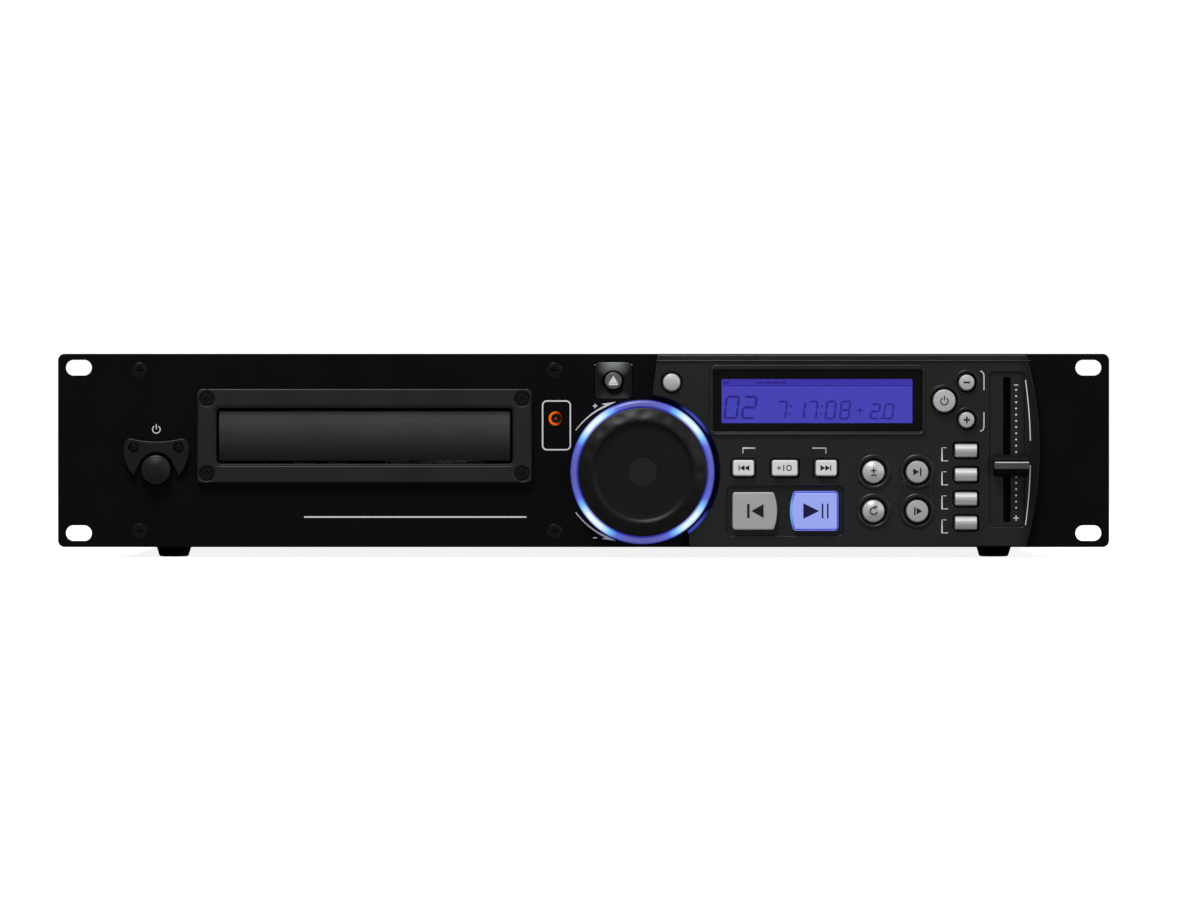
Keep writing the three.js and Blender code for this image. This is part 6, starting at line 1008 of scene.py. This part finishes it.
start_profile = [(1.8, 246), (1.8, 257.1), (2.1, 257.3), (3.3, 257.3), (3.6, 257.0), (3.6, 252.7), (3.4, 246)]
for k, (name, colour) in enumerate((
        ("white", (214, 214, 210)), ("red", (178, 24, 26)), ("orange", (216, 104, 22)))):
    axis = (JACK_X + JACK_PITCH * k, JACK_Z)
    collar_plastic = finish_of(f"{name} collar moulding", colour, 0.35, 1500, 0.03)
    settle(turned(f"{name}_collar", collar_profile, *axis, 48, ring=True), "white_plastic", collar_plastic)
    settle(turned(f"{name}_jack", shell_profile, *axis, 48, ring=True), "steel", bright_steel)
settle(turned("start_jack", start_profile, JACK_X + JACK_PITCH * 3, JACK_Z, 48, ring=True), "black_plastic",
       moulded_black)

# Mains inlet: a moulded shell with a round-cornered flange, snapped into the back plate, with three flat
# plated pins inside.
INLET, INLET_FRONT = (-165.0, 26.0), 238.6
inlet_hole = box_points(23.6, 16.2, 1.4, *INLET)
inlet_shell = box_points(28, 20.6, 3, *INLET)
inlet_body = join_pieces(
    "inlet_body",
    plate("inlet_flange", [box_points(33.2, 25.8, 5.2, *INLET)], 254.6, 2, 0.4, 2, [inlet_hole]),
    plate("inlet_shell", [inlet_shell], INLET_FRONT, 17.6, holes=[inlet_hole]),
    plate("inlet_floor", [inlet_shell], INLET_FRONT, 2.2))
settle(inlet_body, "black_plastic", moulded_black, "mains_inlet")
for k, rise in ((-1, -2), (0, 2), (1, -2)):
    pin_edge = box_points(2, 4, 0.5, INLET[0] + 7 * k, INLET[1] + rise)
    settle(plate(f"inlet_pin_{k + 2}", [pin_edge], 240.6, 10, 0.3), "steel", bright_steel)

# Sheet-metal, bought and inner pieces: the folded case, the boards, the motors and the loader's moulded gears
# and frames. They keep their own solids and take their real finishes.
FINISHES = (
    (finish_of("black sheet coat", (18, 19, 21), 0.44, 2300, 0.35, gloss=0.25, shade=0.04),
     ("chassis_pan", "rear_panel", "top_cover", "fader_body")),
    (moulded_black, ("loader_chassis", "clamp_puck", "turntable", "laser_pickup")),
    (finish_of("natural acetal", (222, 220, 208), 0.36, 1500, 0.04, gloss=0.5, shade=0.03),
     ("motor_pulley", "pulley_gear", "drive_gear", "lift_slider", "sled_gear")),
    (finish_of("grey glass-filled moulding", (128, 130, 132), 0.5, 1500, 0.18, shade=0.06),
     ("traverse_frame",)),
    (bright_steel, ("mains_transformer", "clamp_bridge", "loading_motor", "guide_rod", "spindle_motor")),
    (finish_of("green board", (26, 84, 48), 0.35, 900, 0.08, gloss=0.5), ("control_board", "main_board")),
    (finish_of("ground rubber belt", (18, 18, 18), 0.8, 3000, 0.3, gloss=0.2), ("loading_belt",)),
)
for finish, names in FINISHES:
    for name in names:
        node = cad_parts[name]
        node.data.materials.clear()
        node.data.materials.append(finish)

# Studio: a pale floor that runs to the horizon, soft lamps above and in front, and a level camera in
# line with the panel's middle, as the product was photographed.


def by_ray(tree, plain, camera, mirror):
    """One level for diffuse light, one for the camera, and one for mirrors and glass."""
    path = add_node(tree, "LightPath", {}).outputs
    mirrored = sum_of(tree, "MAXIMUM", path["Is Glossy Ray"], path["Is Transmission Ray"])
    level = sum_of(tree, "MULTIPLY_ADD", path["Is Camera Ray"], camera - plain, plain)
    return sum_of(tree, "MULTIPLY_ADD", mirrored, mirror - plain, level)


let_go()
bpy.ops.mesh.primitive_plane_add(size=60, location=(0, 0, 0))
floor = named("floor")
floor_white = bpy.data.materials.new("white floor")
floor_white.use_nodes = True
set_shader(floor_white, {
    "Base Color": by_ray(floor_white.node_tree, 0.45, 0.45, 0.12), "Roughness": 0.9,
    "Specular IOR Level": 0.0, "Emission Color": (1, 1, 1, 1),
    "Emission Strength": by_ray(floor_white.node_tree, 0.0, 0.88, 0.0)})
floor.data.materials.append(floor_white)

world = bpy.data.worlds.new("studio")
bpy.context.scene.world = world
world.use_nodes = True
feed(world.node_tree, world.node_tree.nodes["Background"],
     {"Color": (1, 1, 1, 1), "Strength": by_ray(world.node_tree, 0.3, 1.05, 0.1)})

for name, spot, aim, size, power in (
        ("key_lamp", (-0.35, -0.85, 1.65), (0, -0.1, 0.05), 0.7, 31.0),
        ("fill_lamp", (1.5, -1.1, 0.6), (0, 0, 0.05), 0.9, 6.0),
        ("top_lamp", (0.05, 0.1, 1.3), (0, -0.05, 0.05), 0.7, 7.0)):
    let_go()
    bpy.ops.object.light_add(type="AREA", location=spot)
    lamp = named(name)
    lamp.data.shape = "DISK"
    lamp.data.size = size
    lamp.data.energy = power
    dx, dy, dz = [a - b for a, b in zip(aim, spot)]
    lamp.rotation_euler = (QUARTER + math.atan2(dz, math.hypot(dx, dy)), 0, math.atan2(-dx, dy))

SENSOR_WIDTH, LENS_REACH, PICTURE_WIDTH = 36, 2600, 552.5
let_go()
bpy.ops.object.camera_add(location=(0.00755, -2.7253, 0.066), rotation=(QUARTER, 0, 0))
camera = bpy.context.object
camera.data.sensor_width = SENSOR_WIDTH
camera.data.lens = SENSOR_WIDTH * LENS_REACH / PICTURE_WIDTH
camera.data.shift_y = -16.3 / PICTURE_WIDTH
camera.data.clip_end = 100
bpy.context.scene.camera = camera
bpy.context.scene.view_settings.view_transform = "Standard"
